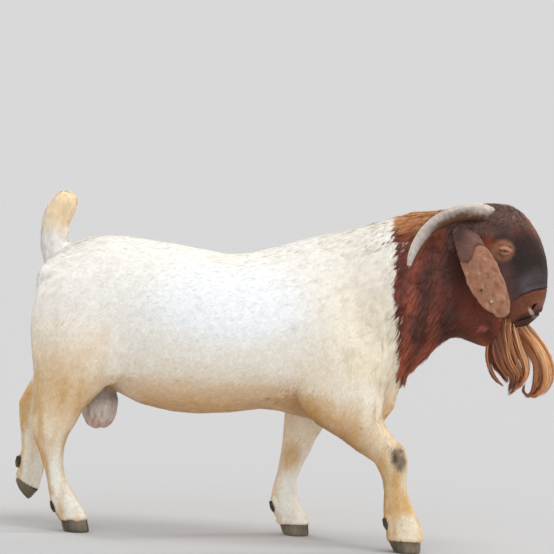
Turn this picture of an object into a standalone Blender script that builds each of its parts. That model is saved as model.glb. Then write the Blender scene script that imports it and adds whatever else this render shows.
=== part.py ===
"""A Boer buck goat at life size, walking, for a museum display.

Metres, +Z up. The buck faces +X, its left side is +Y, and it stands on the floor at Z = 0.
The flesh is lofted in masses that overlap, grown into one skin by a Remesh, thinned, and parted with
thin planar cuts into head, neck, trunk, tail and legs. Horns, eyes, ears, beard, claws and scrotum are
solids of their own, trimmed to meet the flesh with a hair's gap.
"""

import math

import bmesh
import bpy
import numpy as np
from mathutils import Matrix, Vector
from mathutils.bvhtree import BVHTree

# Driving dimensions
GAP = 0.0004          # between neighbouring solids
FLESH_VOXEL = 0.0045  # grain of the joined flesh before it is thinned
FLESH_SHARE = 0.0135   # share of the joined flesh's faces that is kept
FACE_X, FACE_FINE = 0.45, 0.04    # where the flesh keeps more faces, and how strongly
SHANK_Z, FOOT_FINE = 0.26, 0.02
BARREL_X, BARREL_Z, BARREL_FADE = 0.40, 0.36, 0.08   # behind and above these the muscles are eased
COAT_DEPTH = 0.0035   # the flesh is grown by this, out to the tips of the short coat
SIDES = 28            # points round a loft
RINGS_PER_STATION = 3

FORE_Y = 0.105        # half the track of the forefeet
HIND_Y = 0.100        # half the track of the hind feet
CLAW_HEIGHT = 0.034
SOLE_LENGTH = 0.066
CORONET_LEAN = 0.010  # how far the top of a claw lies behind its sole
CLAW_WIDTH = 0.030
DEWCLAW_LENGTH = 0.030
CLEFT = 0.005         # between the two claws of a foot
EYE_RADIUS = 0.0150
EYE_CENTRE = (0.563, 0.0670, 0.7515)
EAR_THICKNESS = 0.0065
EAR_VOXEL = 0.0018
EAR_SHARE = 0.006

RIGHT, LEFT = -1, 1
SIDE_NAMES = {RIGHT: "right", LEFT: "left"}

# Each station of a mass is (upper x, z), (lower x, z), half width, share of the height at which it is
# widest, and the fullness of its upper and lower half: 2 is round, more is squarer, less is a ridge.
TRUNK = (
    ((-0.596, 0.610), (-0.604, 0.440), 0.050, 0.50, 2.2, 2.2),
    ((-0.572, 0.678), (-0.586, 0.390), 0.096, 0.50, 2.1, 2.2),
    ((-0.510, 0.716), (-0.510, 0.372), 0.124, 0.52, 2.0, 2.2),
    ((-0.425, 0.739), (-0.425, 0.364), 0.140, 0.56, 2.1, 2.2),
    ((-0.330, 0.734), (-0.330, 0.322), 0.158, 0.48, 2.1, 2.1),
    ((-0.220, 0.721), (-0.220, 0.305), 0.184, 0.44, 2.0, 2.1),
    ((-0.110, 0.707), (-0.115, 0.310), 0.194, 0.45, 2.0, 2.1),
    ((-0.020, 0.727), (-0.010, 0.326), 0.182, 0.46, 1.9, 2.1),
    ((0.080, 0.762), (0.085, 0.310), 0.160, 0.46, 1.7, 2.1),
    ((0.160, 0.781), (0.190, 0.292), 0.138, 0.44, 1.8, 2.2),
    ((0.215, 0.780), (0.270, 0.300), 0.114, 0.44, 1.9, 2.2),
    ((0.250, 0.740), (0.312, 0.350), 0.078, 0.46, 2.0, 2.2),
)
NECK = (
    ((0.100, 0.765), (0.200, 0.350), 0.100, 0.50, 2.0, 2.0),
    ((0.190, 0.790), (0.302, 0.362), 0.118, 0.46, 1.9, 2.0),
    ((0.265, 0.816), (0.326, 0.416), 0.114, 0.46, 1.9, 1.9),
    ((0.330, 0.836), (0.366, 0.458), 0.102, 0.48, 2.0, 1.9),
    ((0.390, 0.842), (0.408, 0.506), 0.088, 0.52, 2.0, 1.9),
    ((0.440, 0.850), (0.448, 0.530), 0.076, 0.58, 2.0, 1.9),
    ((0.485, 0.850), (0.490, 0.560), 0.064, 0.60, 2.0, 2.0),
)
HEAD = (
    ((0.462, 0.842), (0.446, 0.670), 0.056, 0.55, 2.1, 2.2),
    ((0.512, 0.864), (0.462, 0.640), 0.064, 0.55, 2.2, 2.2),
    ((0.562, 0.865), (0.476, 0.620), 0.068, 0.56, 2.3, 2.2),
    ((0.604, 0.842), (0.490, 0.604), 0.068, 0.56, 2.2, 2.2),
    ((0.640, 0.800), (0.510, 0.592), 0.060, 0.56, 2.1, 2.2),
    ((0.662, 0.750), (0.538, 0.580), 0.049, 0.56, 2.1, 2.2),
    ((0.671, 0.706), (0.566, 0.566), 0.042, 0.54, 2.2, 2.2),
    ((0.671, 0.668), (0.586, 0.560), 0.038, 0.54, 2.3, 2.3),
    ((0.668, 0.640), (0.598, 0.561), 0.037, 0.54, 2.3, 2.3),
    ((0.660, 0.612), (0.611, 0.564), 0.033, 0.54, 2.3, 2.3),
    ((0.650, 0.592), (0.626, 0.572), 0.020, 0.50, 2.2, 2.2),
)
THROAT = (
    ((0.400, 0.620), (0.402, 0.518), 0.050, 0.50, 2.0, 2.0),
    ((0.445, 0.630), (0.448, 0.532), 0.056, 0.50, 2.0, 2.0),
    ((0.490, 0.625), (0.492, 0.522), 0.050, 0.50, 2.0, 2.0),
    ((0.530, 0.615), (0.530, 0.512), 0.040, 0.50, 2.0, 2.0),
    ((0.565, 0.600), (0.566, 0.532), 0.030, 0.50, 2.0, 2.0),
)
TAIL = (
    ((-0.535, 0.640), (-0.575, 0.620), 0.030, 0.50, 2.0, 2.0),
    ((-0.530, 0.690), (-0.589, 0.655), 0.031, 0.50, 2.0, 2.0),
    ((-0.537, 0.722), (-0.602, 0.702), 0.030, 0.50, 2.0, 2.0),
    ((-0.537, 0.748), (-0.602, 0.748), 0.029, 0.50, 2.0, 2.0),
    ((-0.528, 0.776), (-0.596, 0.790), 0.028, 0.50, 2.0, 2.0),
    ((-0.514, 0.808), (-0.574, 0.826), 0.025, 0.50, 2.0, 2.0),
    ((-0.514, 0.832), (-0.554, 0.845), 0.016, 0.50, 2.0, 2.0),
)

# Each station of a leg is (front x, z), (back x, z), distance from the middle plane, half width.
FORELEG_RIGHT = (
    ((0.285, 0.500), (0.060, 0.520), 0.100, 0.058),
    ((0.290, 0.400), (0.070, 0.400), 0.110, 0.060),
    ((0.287, 0.335), (0.105, 0.325), 0.112, 0.054),
    ((0.298, 0.306), (0.180, 0.276), 0.110, 0.044),
    ((0.320, 0.280), (0.240, 0.238), 0.107, 0.036),
    ((0.346, 0.254), (0.277, 0.216), 0.106, 0.031),
    ((0.354, 0.222), (0.291, 0.192), 0.105, 0.029),
    ((0.353, 0.182), (0.299, 0.170), 0.105, 0.024),
    ((0.358, 0.146), (0.303, 0.142), 0.105, 0.022),
    ((0.369, 0.120), (0.303, 0.112), 0.105, 0.025),
    ((0.382, 0.092), (0.307, 0.086), 0.105, 0.029),
    ((0.396, 0.064), (0.313, 0.058), 0.105, 0.030),
    ((0.401, 0.046), (0.315, 0.042), 0.105, 0.031),
    ((0.400, 0.030), (0.316, 0.030), 0.105, 0.030),
)
FORELEG_LEFT = (
    ((0.230, 0.500), (0.030, 0.520), 0.100, 0.058),
    ((0.205, 0.400), (0.024, 0.400), 0.108, 0.058),
    ((0.168, 0.335), (0.027, 0.340), 0.108, 0.050),
    ((0.134, 0.290), (0.027, 0.295), 0.105, 0.042),
    ((0.109, 0.252), (0.026, 0.252), 0.103, 0.035),
    ((0.094, 0.214), (0.023, 0.210), 0.102, 0.031),
    ((0.079, 0.186), (0.019, 0.180), 0.102, 0.026),
    ((0.066, 0.146), (0.014, 0.148), 0.102, 0.022),
    ((0.065, 0.118), (0.006, 0.114), 0.102, 0.025),
    ((0.070, 0.090), (0.004, 0.088), 0.102, 0.029),
    ((0.084, 0.064), (0.011, 0.060), 0.102, 0.030),
    ((0.097, 0.046), (0.020, 0.042), 0.102, 0.031),
    ((0.101, 0.030), (0.022, 0.030), 0.102, 0.030),
)
HINDLEG_RIGHT = (
    ((-0.370, 0.600), (-0.590, 0.600), 0.080, 0.055),
    ((-0.345, 0.500), (-0.603, 0.520), 0.092, 0.064),
    ((-0.362, 0.425), (-0.594, 0.440), 0.100, 0.062),
    ((-0.410, 0.360), (-0.584, 0.370), 0.102, 0.052),
    ((-0.452, 0.312), (-0.582, 0.310), 0.102, 0.040),
    ((-0.474, 0.272), (-0.584, 0.262), 0.101, 0.032),
    ((-0.494, 0.236), (-0.578, 0.230), 0.100, 0.028),
    ((-0.503, 0.196), (-0.560, 0.192), 0.100, 0.024),
    ((-0.499, 0.148), (-0.545, 0.150), 0.100, 0.022),
    ((-0.484, 0.114), (-0.536, 0.118), 0.100, 0.025),
    ((-0.465, 0.084), (-0.529, 0.088), 0.100, 0.029),
    ((-0.449, 0.060), (-0.519, 0.062), 0.100, 0.030),
    ((-0.439, 0.044), (-0.508, 0.042), 0.100, 0.031),
    ((-0.435, 0.030), (-0.502, 0.030), 0.100, 0.029),
)
HINDLEG_LEFT = (
    ((-0.375, 0.600), (-0.590, 0.600), 0.080, 0.055),
    ((-0.370, 0.500), (-0.596, 0.520), 0.092, 0.064),
    ((-0.420, 0.425), (-0.598, 0.440), 0.100, 0.060),
    ((-0.490, 0.376), (-0.608, 0.392), 0.102, 0.048),
    ((-0.545, 0.342), (-0.634, 0.347), 0.102, 0.037),
    ((-0.578, 0.306), (-0.655, 0.300), 0.101, 0.030),
    ((-0.594, 0.262), (-0.654, 0.256), 0.100, 0.025),
    ((-0.596, 0.212), (-0.646, 0.208), 0.100, 0.022),
    ((-0.590, 0.176), (-0.645, 0.168), 0.100, 0.026),
    ((-0.587, 0.146), (-0.646, 0.142), 0.100, 0.029),
    ((-0.590, 0.116), (-0.648, 0.126), 0.100, 0.030),
    ((-0.596, 0.092), (-0.653, 0.118), 0.100, 0.031),
    ((-0.602, 0.076), (-0.654, 0.108), 0.100, 0.030),
)

# Muscles and bones that show: centre, half sizes, turn about Y in degrees. Each is made on both sides.
MASSES = (
    ((0.140, 0.098, 0.530), (0.090, 0.056, 0.138), -28),   # shoulder blade and its muscle
    ((0.225, 0.094, 0.460), (0.080, 0.058, 0.085), -30),   # point of the shoulder
    ((-0.480, 0.088, 0.520), (0.118, 0.064, 0.150), 14),   # ham
    ((-0.395, 0.098, 0.460), (0.066, 0.052, 0.100), 24),   # front of the thigh
    ((-0.572, 0.046, 0.610), (0.030, 0.034, 0.052), 0),    # pin bone
    ((0.562, 0.0480, 0.757), (0.036, 0.026, 0.030), 0),    # rim of the eye socket
    ((0.508, 0.0480, 0.690), (0.052, 0.024, 0.058), 30),   # cheek
    ((0.640, 0.0220, 0.622), (0.024, 0.018, 0.024), 0),    # wing of the nostril
    ((0.526, 0.0340, 0.832), (0.034, 0.026, 0.026), 0),    # foot of the horn
    ((0.462, 0.0520, 0.786), (0.030, 0.028, 0.026), 0),    # root of the ear
)

# Way points of the horn's middle line, and its half height there.
HORN = (
    ((0.536, 0.022, 0.812), 0.0225),
    ((0.528, 0.038, 0.832), 0.0225),
    ((0.508, 0.050, 0.841), 0.0225),
    ((0.478, 0.064, 0.843), 0.0215),
    ((0.440, 0.084, 0.835), 0.0205),
    ((0.405, 0.105, 0.818), 0.0185),
    ((0.376, 0.122, 0.793), 0.0158),
    ((0.354, 0.135, 0.762), 0.0128),
    ((0.342, 0.144, 0.731), 0.0100),
    ((0.337, 0.149, 0.706), 0.0060),
)
HORN_FLATNESS = 0.78

# Way points of the ear's middle line, its half width there, how far its blade is cupped, and how far
# its outer face is tipped up, in degrees.
EAR = (
    ((0.446, 0.050, 0.790), 0.026, 0.012, 70),
    ((0.458, 0.074, 0.790), 0.032, 0.014, 60),
    ((0.472, 0.097, 0.774), 0.038, 0.014, 35),
    ((0.486, 0.112, 0.748), 0.042, 0.012, 15),
    ((0.506, 0.120, 0.712), 0.048, 0.008, 6),
    ((0.528, 0.124, 0.670), 0.049, 0.006, 2),
    ((0.550, 0.125, 0.634), 0.042, 0.004, 0),
    ((0.568, 0.125, 0.609), 0.032, 0.003, 0),
    ((0.580, 0.124, 0.593), 0.016, 0.001, 0),
)

# The beard's three main locks: way points, half width in side view and half thickness.
BEARD_LOCKS = (
    (
        ((0.562, 0.590), 0.034, 0.022),
        ((0.558, 0.545), 0.032, 0.026),
        ((0.556, 0.505), 0.027, 0.024),
        ((0.563, 0.470), 0.024, 0.020),
        ((0.578, 0.440), 0.019, 0.016),
        ((0.592, 0.415), 0.013, 0.011),
        ((0.596, 0.395), 0.006, 0.006),
    ),
    (
        ((0.584, 0.590), 0.030, 0.022),
        ((0.594, 0.545), 0.030, 0.028),
        ((0.608, 0.500), 0.027, 0.026),
        ((0.620, 0.462), 0.022, 0.020),
        ((0.624, 0.430), 0.016, 0.014),
        ((0.618, 0.403), 0.007, 0.007),
    ),
    (
        ((0.598, 0.588), 0.026, 0.022),
        ((0.622, 0.556), 0.026, 0.028),
        ((0.652, 0.522), 0.026, 0.026),
        ((0.671, 0.484), 0.026, 0.023),
        ((0.676, 0.448), 0.023, 0.019),
        ((0.668, 0.418), 0.018, 0.014),
        ((0.650, 0.398), 0.008, 0.007),
    ),
)

SCROTUM_LOBES = (
    ((-0.437, -0.020, 0.317), (0.042, 0.031, 0.067)),
    ((-0.427, 0.022, 0.313), (0.039, 0.031, 0.065)),
    ((-0.425, 0.000, 0.372), (0.036, 0.026, 0.040)),
)

NOSTRIL = (0.648, 0.022, 0.626)            # middle, and the half sizes and turn of the hollow
NOSTRIL_HALF_SIZES = (0.011, 0.006, 0.005)
NOSTRIL_TURN = 50
MOUTH_CENTRE = (0.612, 0.0, 0.584)         # the mouth line runs round the muzzle in a plane
MOUTH_FORWARD = (0.93, 0.0, 0.36)
MOUTH_SWING = 104                          # degrees from the front to each corner
MOUTH_RADIUS = 0.0024

# Planes of the thin cuts: a point on the plane and its direction, which points away from the trunk.
HEAD_CUT = ((0.440, 0.0, 0.690), (0.985, 0.0, 0.17))
NECK_CUT = ((0.314, 0.0, 0.650), (0.996, 0.0, 0.092))
TAIL_CUT = ((-0.560, 0.0, 0.672), (-0.55, 0.0, 0.84))

# The outer and inner height at which each leg leaves the trunk, and the fore and aft reach of the cut.
LEG_CUTS = {
    "foreleg_right": {"outer_z": 0.430, "inner_z": 0.290, "x": (0.055, 0.460)},
    "foreleg_left": {"outer_z": 0.430, "inner_z": 0.290, "x": (-0.010, 0.300)},
    "hindleg_right": {"outer_z": 0.520, "inner_z": 0.335, "x": (-0.720, -0.330)},
    "hindleg_left": {"outer_z": 0.520, "inner_z": 0.335, "x": (-0.720, -0.350)},
}
INNER_Y = 0.020
OUTER_Y = 0.190

# Where each leg is parted above the knee or hock: a point on the cut and its downward direction.
KNEE_CUTS = {
    "foreleg_right": ((0.312, -FORE_Y, 0.246), (0.62, 0.0, -0.78)),
    "foreleg_left": ((0.060, FORE_Y, 0.226), (-0.14, 0.0, -0.99)),
    "hindleg_right": ((-0.530, -HIND_Y, 0.290), (-0.34, 0.0, -0.94)),
    "hindleg_left": ((-0.585, HIND_Y, 0.338), (-0.62, 0.0, -0.78)),
}

# Each foot: middle of its sole, pitch in degrees (0 is flat on the floor), how far its toes turn to
# the right, half length of the coronet, and where its dewclaws hang.
FEET = {
    "fore_right": ((0.3660, -0.105, 0.0), 0, 4, 0.0420, (0.311, 0.072)),
    "fore_left": ((0.0720, 0.102, 0.0), 0, 20, 0.0390, (0.009, 0.074)),
    "hind_right": ((-0.4580, -0.100, 0.0), 0, 16, 0.0340, (-0.518, 0.064)),
    "hind_left": ((-0.6390, 0.100, 0.0750), 56, 4, 0.0330, (-0.650, 0.148)),
}

COLOURS = {
    "white_coat": ((0.86, 0.80, 0.70), 0.85),
    "brown_coat": ((0.16, 0.045, 0.025), 0.80),
    "ear_skin": ((0.28, 0.13, 0.09), 0.65),
    "horn": ((0.42, 0.36, 0.31), 0.45),
    "claw": ((0.10, 0.085, 0.07), 0.50),
    "eye": ((0.10, 0.045, 0.012), 0.10),
    "scrotum_skin": ((0.38, 0.29, 0.25), 0.60),
    "beard_hair": ((0.28, 0.09, 0.035), 0.60),
}


def clear_scene():
    for obj in list(bpy.data.objects):
        bpy.data.objects.remove(obj, do_unlink=True)


def material(name):
    colour, roughness = COLOURS[name]
    made = bpy.data.materials.get(name) or bpy.data.materials.new(name)
    made.use_nodes = True
    shader = made.node_tree.nodes["Principled BSDF"]
    shader.inputs["Base Color"].default_value = (*colour, 1.0)
    shader.inputs["Roughness"].default_value = roughness
    shader.inputs["Metallic"].default_value = 0.0
    return made


def add_object(name, mesh, finish=None):
    obj = bpy.data.objects.new(name, mesh)
    bpy.context.scene.collection.objects.link(obj)
    if finish:
        mesh.materials.clear()
        mesh.materials.append(material(finish))
    return obj


def helper(obj):
    """A cutter or a guide, which is no part of the goat."""
    obj.hide_render = True
    obj.display_type = "WIRE"
    return obj


def smooth_rows(rows, count):
    """Rows of numbers made denser along a Catmull-Rom curve, with count steps for each gap."""
    rows = np.array(rows, float)
    padded = np.vstack([2 * rows[0] - rows[1], rows, 2 * rows[-1] - rows[-2]])
    made = []
    for i in range(len(rows) - 1):
        a, b, c, d = padded[i : i + 4]
        for t in np.linspace(0, 1, count, endpoint=False):
            made.append(
                0.5 * (2 * b + (c - a) * t + (2 * a - 5 * b + 4 * c - d) * t**2
                       + (3 * b - a - 3 * c + d) * t**3)
            )
    made.append(rows[-1])
    return np.array(made)


def mesh_of_rings(name, rings):
    """A closed tube through rings of points, with a point in the middle of each end."""
    bm = bmesh.new()
    loops = [[bm.verts.new(p) for p in ring] for ring in rings]
    sides = len(loops[0])
    for lower, upper in zip(loops, loops[1:]):
        for i in range(sides):
            j = (i + 1) % sides
            bm.faces.new((lower[i], lower[j], upper[j], upper[i]))
    for loop in (loops[0], loops[-1]):
        middle = bm.verts.new(sum((v.co for v in loop), Vector()) / sides)
        for i in range(sides):
            bm.faces.new((loop[i], loop[(i + 1) % sides], middle))
    bmesh.ops.recalc_face_normals(bm, faces=bm.faces)
    mesh = bpy.data.meshes.new(name)
    bm.to_mesh(mesh)
    bm.free()
    return mesh


def power(value, fullness):
    return math.copysign(abs(value) ** (2.0 / fullness), value)


def section(upper, lower, y, half_width, widest, upper_full, lower_full, sides=SIDES):
    """One closed outline between an upper and a lower point of the side view."""
    upper, lower = np.array(upper), np.array(lower)
    middle = lower + (upper - lower) * widest
    ring = []
    for k in range(sides):
        turn = 2 * math.pi * k / sides
        up, out = math.sin(turn), math.cos(turn)
        reach = (upper if up >= 0 else lower) - middle
        fullness = upper_full if up >= 0 else lower_full
        x, z = middle + reach * abs(power(up, fullness))
        ring.append(Vector((x, y + half_width * power(out, fullness), z)))
    return ring


def body_mass(name, stations):
    """A mass on the middle plane, such as the trunk."""
    rows = [(*up, *low, *rest) for up, low, *rest in stations]
    rings = [
        section(r[0:2], r[2:4], 0.0, *r[4:])
        for r in smooth_rows(rows, RINGS_PER_STATION)
    ]
    return add_object(name, mesh_of_rings(name, rings))


def leg_mass(name, stations, side):
    rows = [(*front, *back, y, half) for front, back, y, half in stations]
    rings = [
        section(r[0:2], r[2:4], side * r[4], r[5], 0.5, 2.1, 2.1)
        for r in smooth_rows(rows, RINGS_PER_STATION)
    ]
    return add_object(name, mesh_of_rings(name, rings))


def ball_mass(name, centre, half_sizes, turn=0.0, segments=24):
    bm = bmesh.new()
    place = (
        Matrix.Translation(centre)
        @ Matrix.Rotation(math.radians(turn), 4, "Y")
        @ Matrix.Diagonal((*half_sizes, 1.0))
    )
    bmesh.ops.create_uvsphere(
        bm, u_segments=segments, v_segments=segments // 2, radius=1.0, matrix=place
    )
    mesh = bpy.data.meshes.new(name)
    bm.to_mesh(mesh)
    bm.free()
    return add_object(name, mesh)


def apply_modifiers(obj):
    graph = bpy.context.evaluated_depsgraph_get()
    graph.update()
    mesh = bpy.data.meshes.new_from_object(obj.evaluated_get(graph))
    obj.modifiers.clear()
    obj.data = mesh
    return obj


def joined(name, objects):
    """The meshes of these objects in one object."""
    bm = bmesh.new()
    for obj in objects:
        bm.from_mesh(obj.data)
        bpy.data.objects.remove(obj)
    mesh = bpy.data.meshes.new(name)
    bm.to_mesh(mesh)
    bm.free()
    return add_object(name, mesh)


def grown_together(obj, voxel, smoothing, passes, depth=0.0):
    remesh = obj.modifiers.new("Grow", "REMESH")
    remesh.mode = "VOXEL"
    remesh.voxel_size = voxel
    smooth = obj.modifiers.new("Soften", "SMOOTH")
    smooth.factor = smoothing
    smooth.iterations = passes
    if depth:
        swell = obj.modifiers.new("Coat", "DISPLACE")
        swell.mid_level = 0.0
        swell.strength = depth
    return apply_modifiers(obj)


def thinned(obj, share, fine=None):
    """Fewer faces, with more of them kept where fine says so."""
    thin = obj.modifiers.new("Thin", "DECIMATE")
    thin.ratio = share
    if fine:
        group = obj.vertex_groups.new(name="coarse")
        for v in obj.data.vertices:
            group.add([v.index], 1.0 - fine(v.co), "REPLACE")
        thin.vertex_group = "coarse"
        thin.vertex_group_factor = 1.0
    apply_modifiers(obj)
    obj.vertex_groups.clear()
    return obj


def half_space(name, point, direction, shift=0.0, size=2.0):
    """A big box whose one face lies on the plane, on the side that direction points to."""
    direction = Vector(direction).normalized()
    bm = bmesh.new()
    bmesh.ops.create_cube(bm, size=size)
    turn = direction.to_track_quat("Z", "Y").to_matrix().to_4x4()
    place = Matrix.Translation(Vector(point) + direction * (shift + size / 2)) @ turn
    bmesh.ops.transform(bm, matrix=place, verts=bm.verts)
    mesh = bpy.data.meshes.new(name)
    bm.to_mesh(mesh)
    bm.free()
    return helper(add_object(name, mesh))


def leg_wedge(name, side, cut, grow):
    """The space outside and under the slanting cut where a leg leaves the trunk."""
    inner, outer = side * (INNER_Y - grow), side * 0.40
    slope = (cut["outer_z"] - cut["inner_z"]) / (OUTER_Y - INNER_Y)
    back, front = cut["x"][0] - grow, cut["x"][1] + grow
    rise = grow * math.hypot(1, slope)
    top_inner = cut["inner_z"] + rise - slope * grow
    top_outer = cut["inner_z"] + rise + slope * (0.40 - INNER_Y)
    bm = bmesh.new()
    ends = []
    for x in (back, front):
        ends.append([
            bm.verts.new((x, inner, -0.1)),
            bm.verts.new((x, outer, -0.1)),
            bm.verts.new((x, outer, top_outer)),
            bm.verts.new((x, inner, top_inner)),
        ])
    bm.faces.new(ends[0])
    bm.faces.new(ends[1])
    for i in range(4):
        j = (i + 1) % 4
        bm.faces.new((ends[0][i], ends[0][j], ends[1][j], ends[1][i]))
    bmesh.ops.recalc_face_normals(bm, faces=bm.faces)
    mesh = bpy.data.meshes.new(name)
    bm.to_mesh(mesh)
    bm.free()
    return helper(add_object(name, mesh))


def combine(obj, tool, operation, keep_tool=False):
    boolean = obj.modifiers.new(operation.title(), "BOOLEAN")
    boolean.operation = operation
    boolean.solver = "EXACT"
    boolean.object = tool
    apply_modifiers(obj)
    if not keep_tool:
        bpy.data.objects.remove(tool)
    return obj


def copy_of(obj, name):
    return add_object(name, obj.data.copy())


def swollen(obj, name, by):
    """A copy of a solid, grown by a small distance on every side, to trim a neighbour with."""
    copy = helper(copy_of(obj, name))
    grow = copy.modifiers.new("Grow", "DISPLACE")
    grow.mid_level = 0.0
    grow.strength = by
    return apply_modifiers(copy)


def largest_body(obj):
    """Drops the crumbs that a cut may leave."""
    bm = bmesh.new()
    bm.from_mesh(obj.data)
    left, bodies = set(bm.verts), []
    while left:
        todo, body = [left.pop()], []
        while todo:
            v = todo.pop()
            body.append(v)
            for e in v.link_edges:
                w = e.other_vert(v)
                if w in left:
                    left.discard(w)
                    todo.append(w)
        bodies.append(body)
    bodies.sort(key=len)
    for body in bodies[:-1]:
        bmesh.ops.delete(bm, geom=body, context="VERTS")
    bm.to_mesh(obj.data)
    bm.free()
    return obj


def make_flesh():
    """Head, neck, trunk, tail and legs in one closed skin."""
    masses = [
        body_mass("trunk_mass", TRUNK),
        body_mass("neck_mass", NECK),
        body_mass("head_mass", HEAD),
        body_mass("throat_mass", THROAT),
        body_mass("tail_mass", TAIL),
        leg_mass("foreleg_right_mass", FORELEG_RIGHT, RIGHT),
        leg_mass("foreleg_left_mass", FORELEG_LEFT, LEFT),
        leg_mass("hindleg_right_mass", HINDLEG_RIGHT, RIGHT),
        leg_mass("hindleg_left_mass", HINDLEG_LEFT, LEFT),
    ]
    for number, ((x, y, z), half_sizes, turn) in enumerate(MASSES):
        for side in (RIGHT, LEFT):
            masses.append(
                ball_mass(f"mass_{number}_{SIDE_NAMES[side]}", (x, side * y, z), half_sizes, turn)
            )
    flesh = grown_together(joined("flesh", masses), FLESH_VOXEL, 0.5, 8, COAT_DEPTH)
    group = flesh.vertex_groups.new(name="barrel")
    for v in flesh.data.vertices:
        above = min(1.0, max(0.0, (v.co.z - BARREL_Z) / BARREL_FADE))
        behind = min(1.0, max(0.0, (BARREL_X - v.co.x) / BARREL_FADE))
        low_tail = min(1.0, max(0.0, (v.co.x + 0.50) / BARREL_FADE, (0.66 - v.co.z) / BARREL_FADE))
        group.add([v.index], above * behind * low_tail, "REPLACE")
    ease = flesh.modifiers.new("Ease", "SMOOTH")
    ease.factor = 0.5
    ease.iterations = 140
    ease.vertex_group = "barrel"
    apply_modifiers(flesh)
    flesh.vertex_groups.clear()

    def fine(co):
        if co.x > FACE_X:
            return FACE_FINE
        return FOOT_FINE if co.z < SHANK_Z else 0.0

    return thinned(flesh, FLESH_SHARE, fine)


def part_flesh(flesh):
    """The thin cuts. Returns the pieces of flesh by name."""
    pieces = {}
    for name, cut in LEG_CUTS.items():
        side = RIGHT if name.endswith("right") else LEFT
        limb = copy_of(flesh, name)
        combine(limb, leg_wedge("cutter", side, cut, 0.0), "INTERSECT")
        pieces[name] = largest_body(limb)
    trunk = flesh
    for name, cut in LEG_CUTS.items():
        side = RIGHT if name.endswith("right") else LEFT
        combine(trunk, leg_wedge("cutter", side, cut, GAP), "DIFFERENCE")
    for name, (point, direction) in (("neck", NECK_CUT), ("tail", TAIL_CUT)):
        piece = copy_of(trunk, name)
        combine(piece, half_space("cutter", point, direction), "INTERSECT")
        combine(trunk, half_space("cutter", point, direction, -GAP), "DIFFERENCE")
        pieces[name] = largest_body(piece)
    head = copy_of(pieces["neck"], "head")
    combine(head, half_space("cutter", *HEAD_CUT), "INTERSECT")
    combine(pieces["neck"], half_space("cutter", *HEAD_CUT, -GAP), "DIFFERENCE")
    pieces["head"] = largest_body(head)
    pieces["trunk"] = largest_body(trunk)
    for name, (point, direction) in KNEE_CUTS.items():
        upper = pieces.pop(name)
        lower = copy_of(upper, f"{name}_lower")
        combine(lower, half_space("cutter", point, direction), "INTERSECT")
        combine(upper, half_space("cutter", point, direction, -GAP), "DIFFERENCE")
        pieces[f"{name}_upper"] = largest_body(upper)
        pieces[f"{name}_lower"] = largest_body(lower)
    return pieces


def frames_along(points):
    """The direction of a curve at each of its points."""
    points = np.array(points)
    steps = np.gradient(points, axis=0)
    return steps / np.linalg.norm(steps, axis=1)[:, None]


def make_horn(side):
    """A horn swept along its curve, a little flattened from side to side."""
    rows = smooth_rows([(*p, r) for p, r in HORN], 1)
    points, radii = rows[:, :3] * (1, side, 1), rows[:, 3]
    rings = []
    for point, along, radius in zip(points, frames_along(points), radii):
        along = Vector(along)
        across = along.cross(Vector((0, 1, 0))).normalized()
        beside = across.cross(along).normalized()
        rings.append([
            Vector(point)
            + across * radius * math.cos(a)
            + beside * radius * HORN_FLATNESS * math.sin(a)
            for a in np.linspace(0, 2 * math.pi, 10, endpoint=False)
        ])
    name = f"horn_{SIDE_NAMES[side]}"
    return add_object(name, mesh_of_rings(name, rings), "horn")


def make_ear(side):
    """A long hanging ear: a thin blade, cupped along its length."""
    rows = smooth_rows([(*p, *rest) for p, *rest in EAR], 2)
    points = rows[:, :3] * (1, side, 1)
    rings = []
    for point, along, (width, cup, tip) in zip(points, frames_along(points), rows[:, 3:]):
        along = Vector(along)
        out = Vector((0, side * math.cos(math.radians(tip)), math.sin(math.radians(tip))))
        out = (out - along * out.dot(along)).normalized()
        across = along.cross(out).normalized()
        thick = min(EAR_THICKNESS, width) / 2
        ring = []
        for a in np.linspace(0, 2 * math.pi, 14, endpoint=False):
            c = math.cos(a)
            lift = cup * (1 - c * c) + thick * math.sin(a)
            ring.append(Vector(point) + across * width * c + out * lift)
        rings.append(ring)
    name = f"ear_{SIDE_NAMES[side]}"
    ear = grown_together(add_object(name, mesh_of_rings(name, rings)), EAR_VOXEL, 0.5, 2)
    thinned(ear, EAR_SHARE)
    ear.data.materials.append(material("ear_skin"))
    return ear


def make_beard():
    """Three locks of beard that part below the chin."""
    locks = []
    for number, lock in enumerate(BEARD_LOCKS):
        rows = smooth_rows([(*p, w, t) for p, w, t in lock], 2)
        rings = []
        for (x, z, width, thick), (dx, dz) in zip(rows, frames_along(rows[:, :2])):
            rings.append([
                Vector((x - dz * width * math.cos(a), thick * math.sin(a), z + dx * width * math.cos(a)))
                for a in np.linspace(0, 2 * math.pi, 12, endpoint=False)
            ])
        name = f"lock_{number}"
        locks.append(add_object(name, mesh_of_rings(name, rings)))
    beard = grown_together(joined("beard", locks), 0.0030, 0.5, 3)
    thinned(beard, 0.014)
    beard.data.materials.append(material("beard_hair"))
    return beard


def make_scrotum():
    lobes = [
        ball_mass(f"lobe_{number}", centre, half_sizes)
        for number, (centre, half_sizes) in enumerate(SCROTUM_LOBES)
    ]
    pouch = grown_together(joined("scrotum", lobes), 0.004, 0.5, 4)
    thinned(pouch, 0.026)
    pouch.data.materials.append(material("scrotum_skin"))
    return pouch


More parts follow.
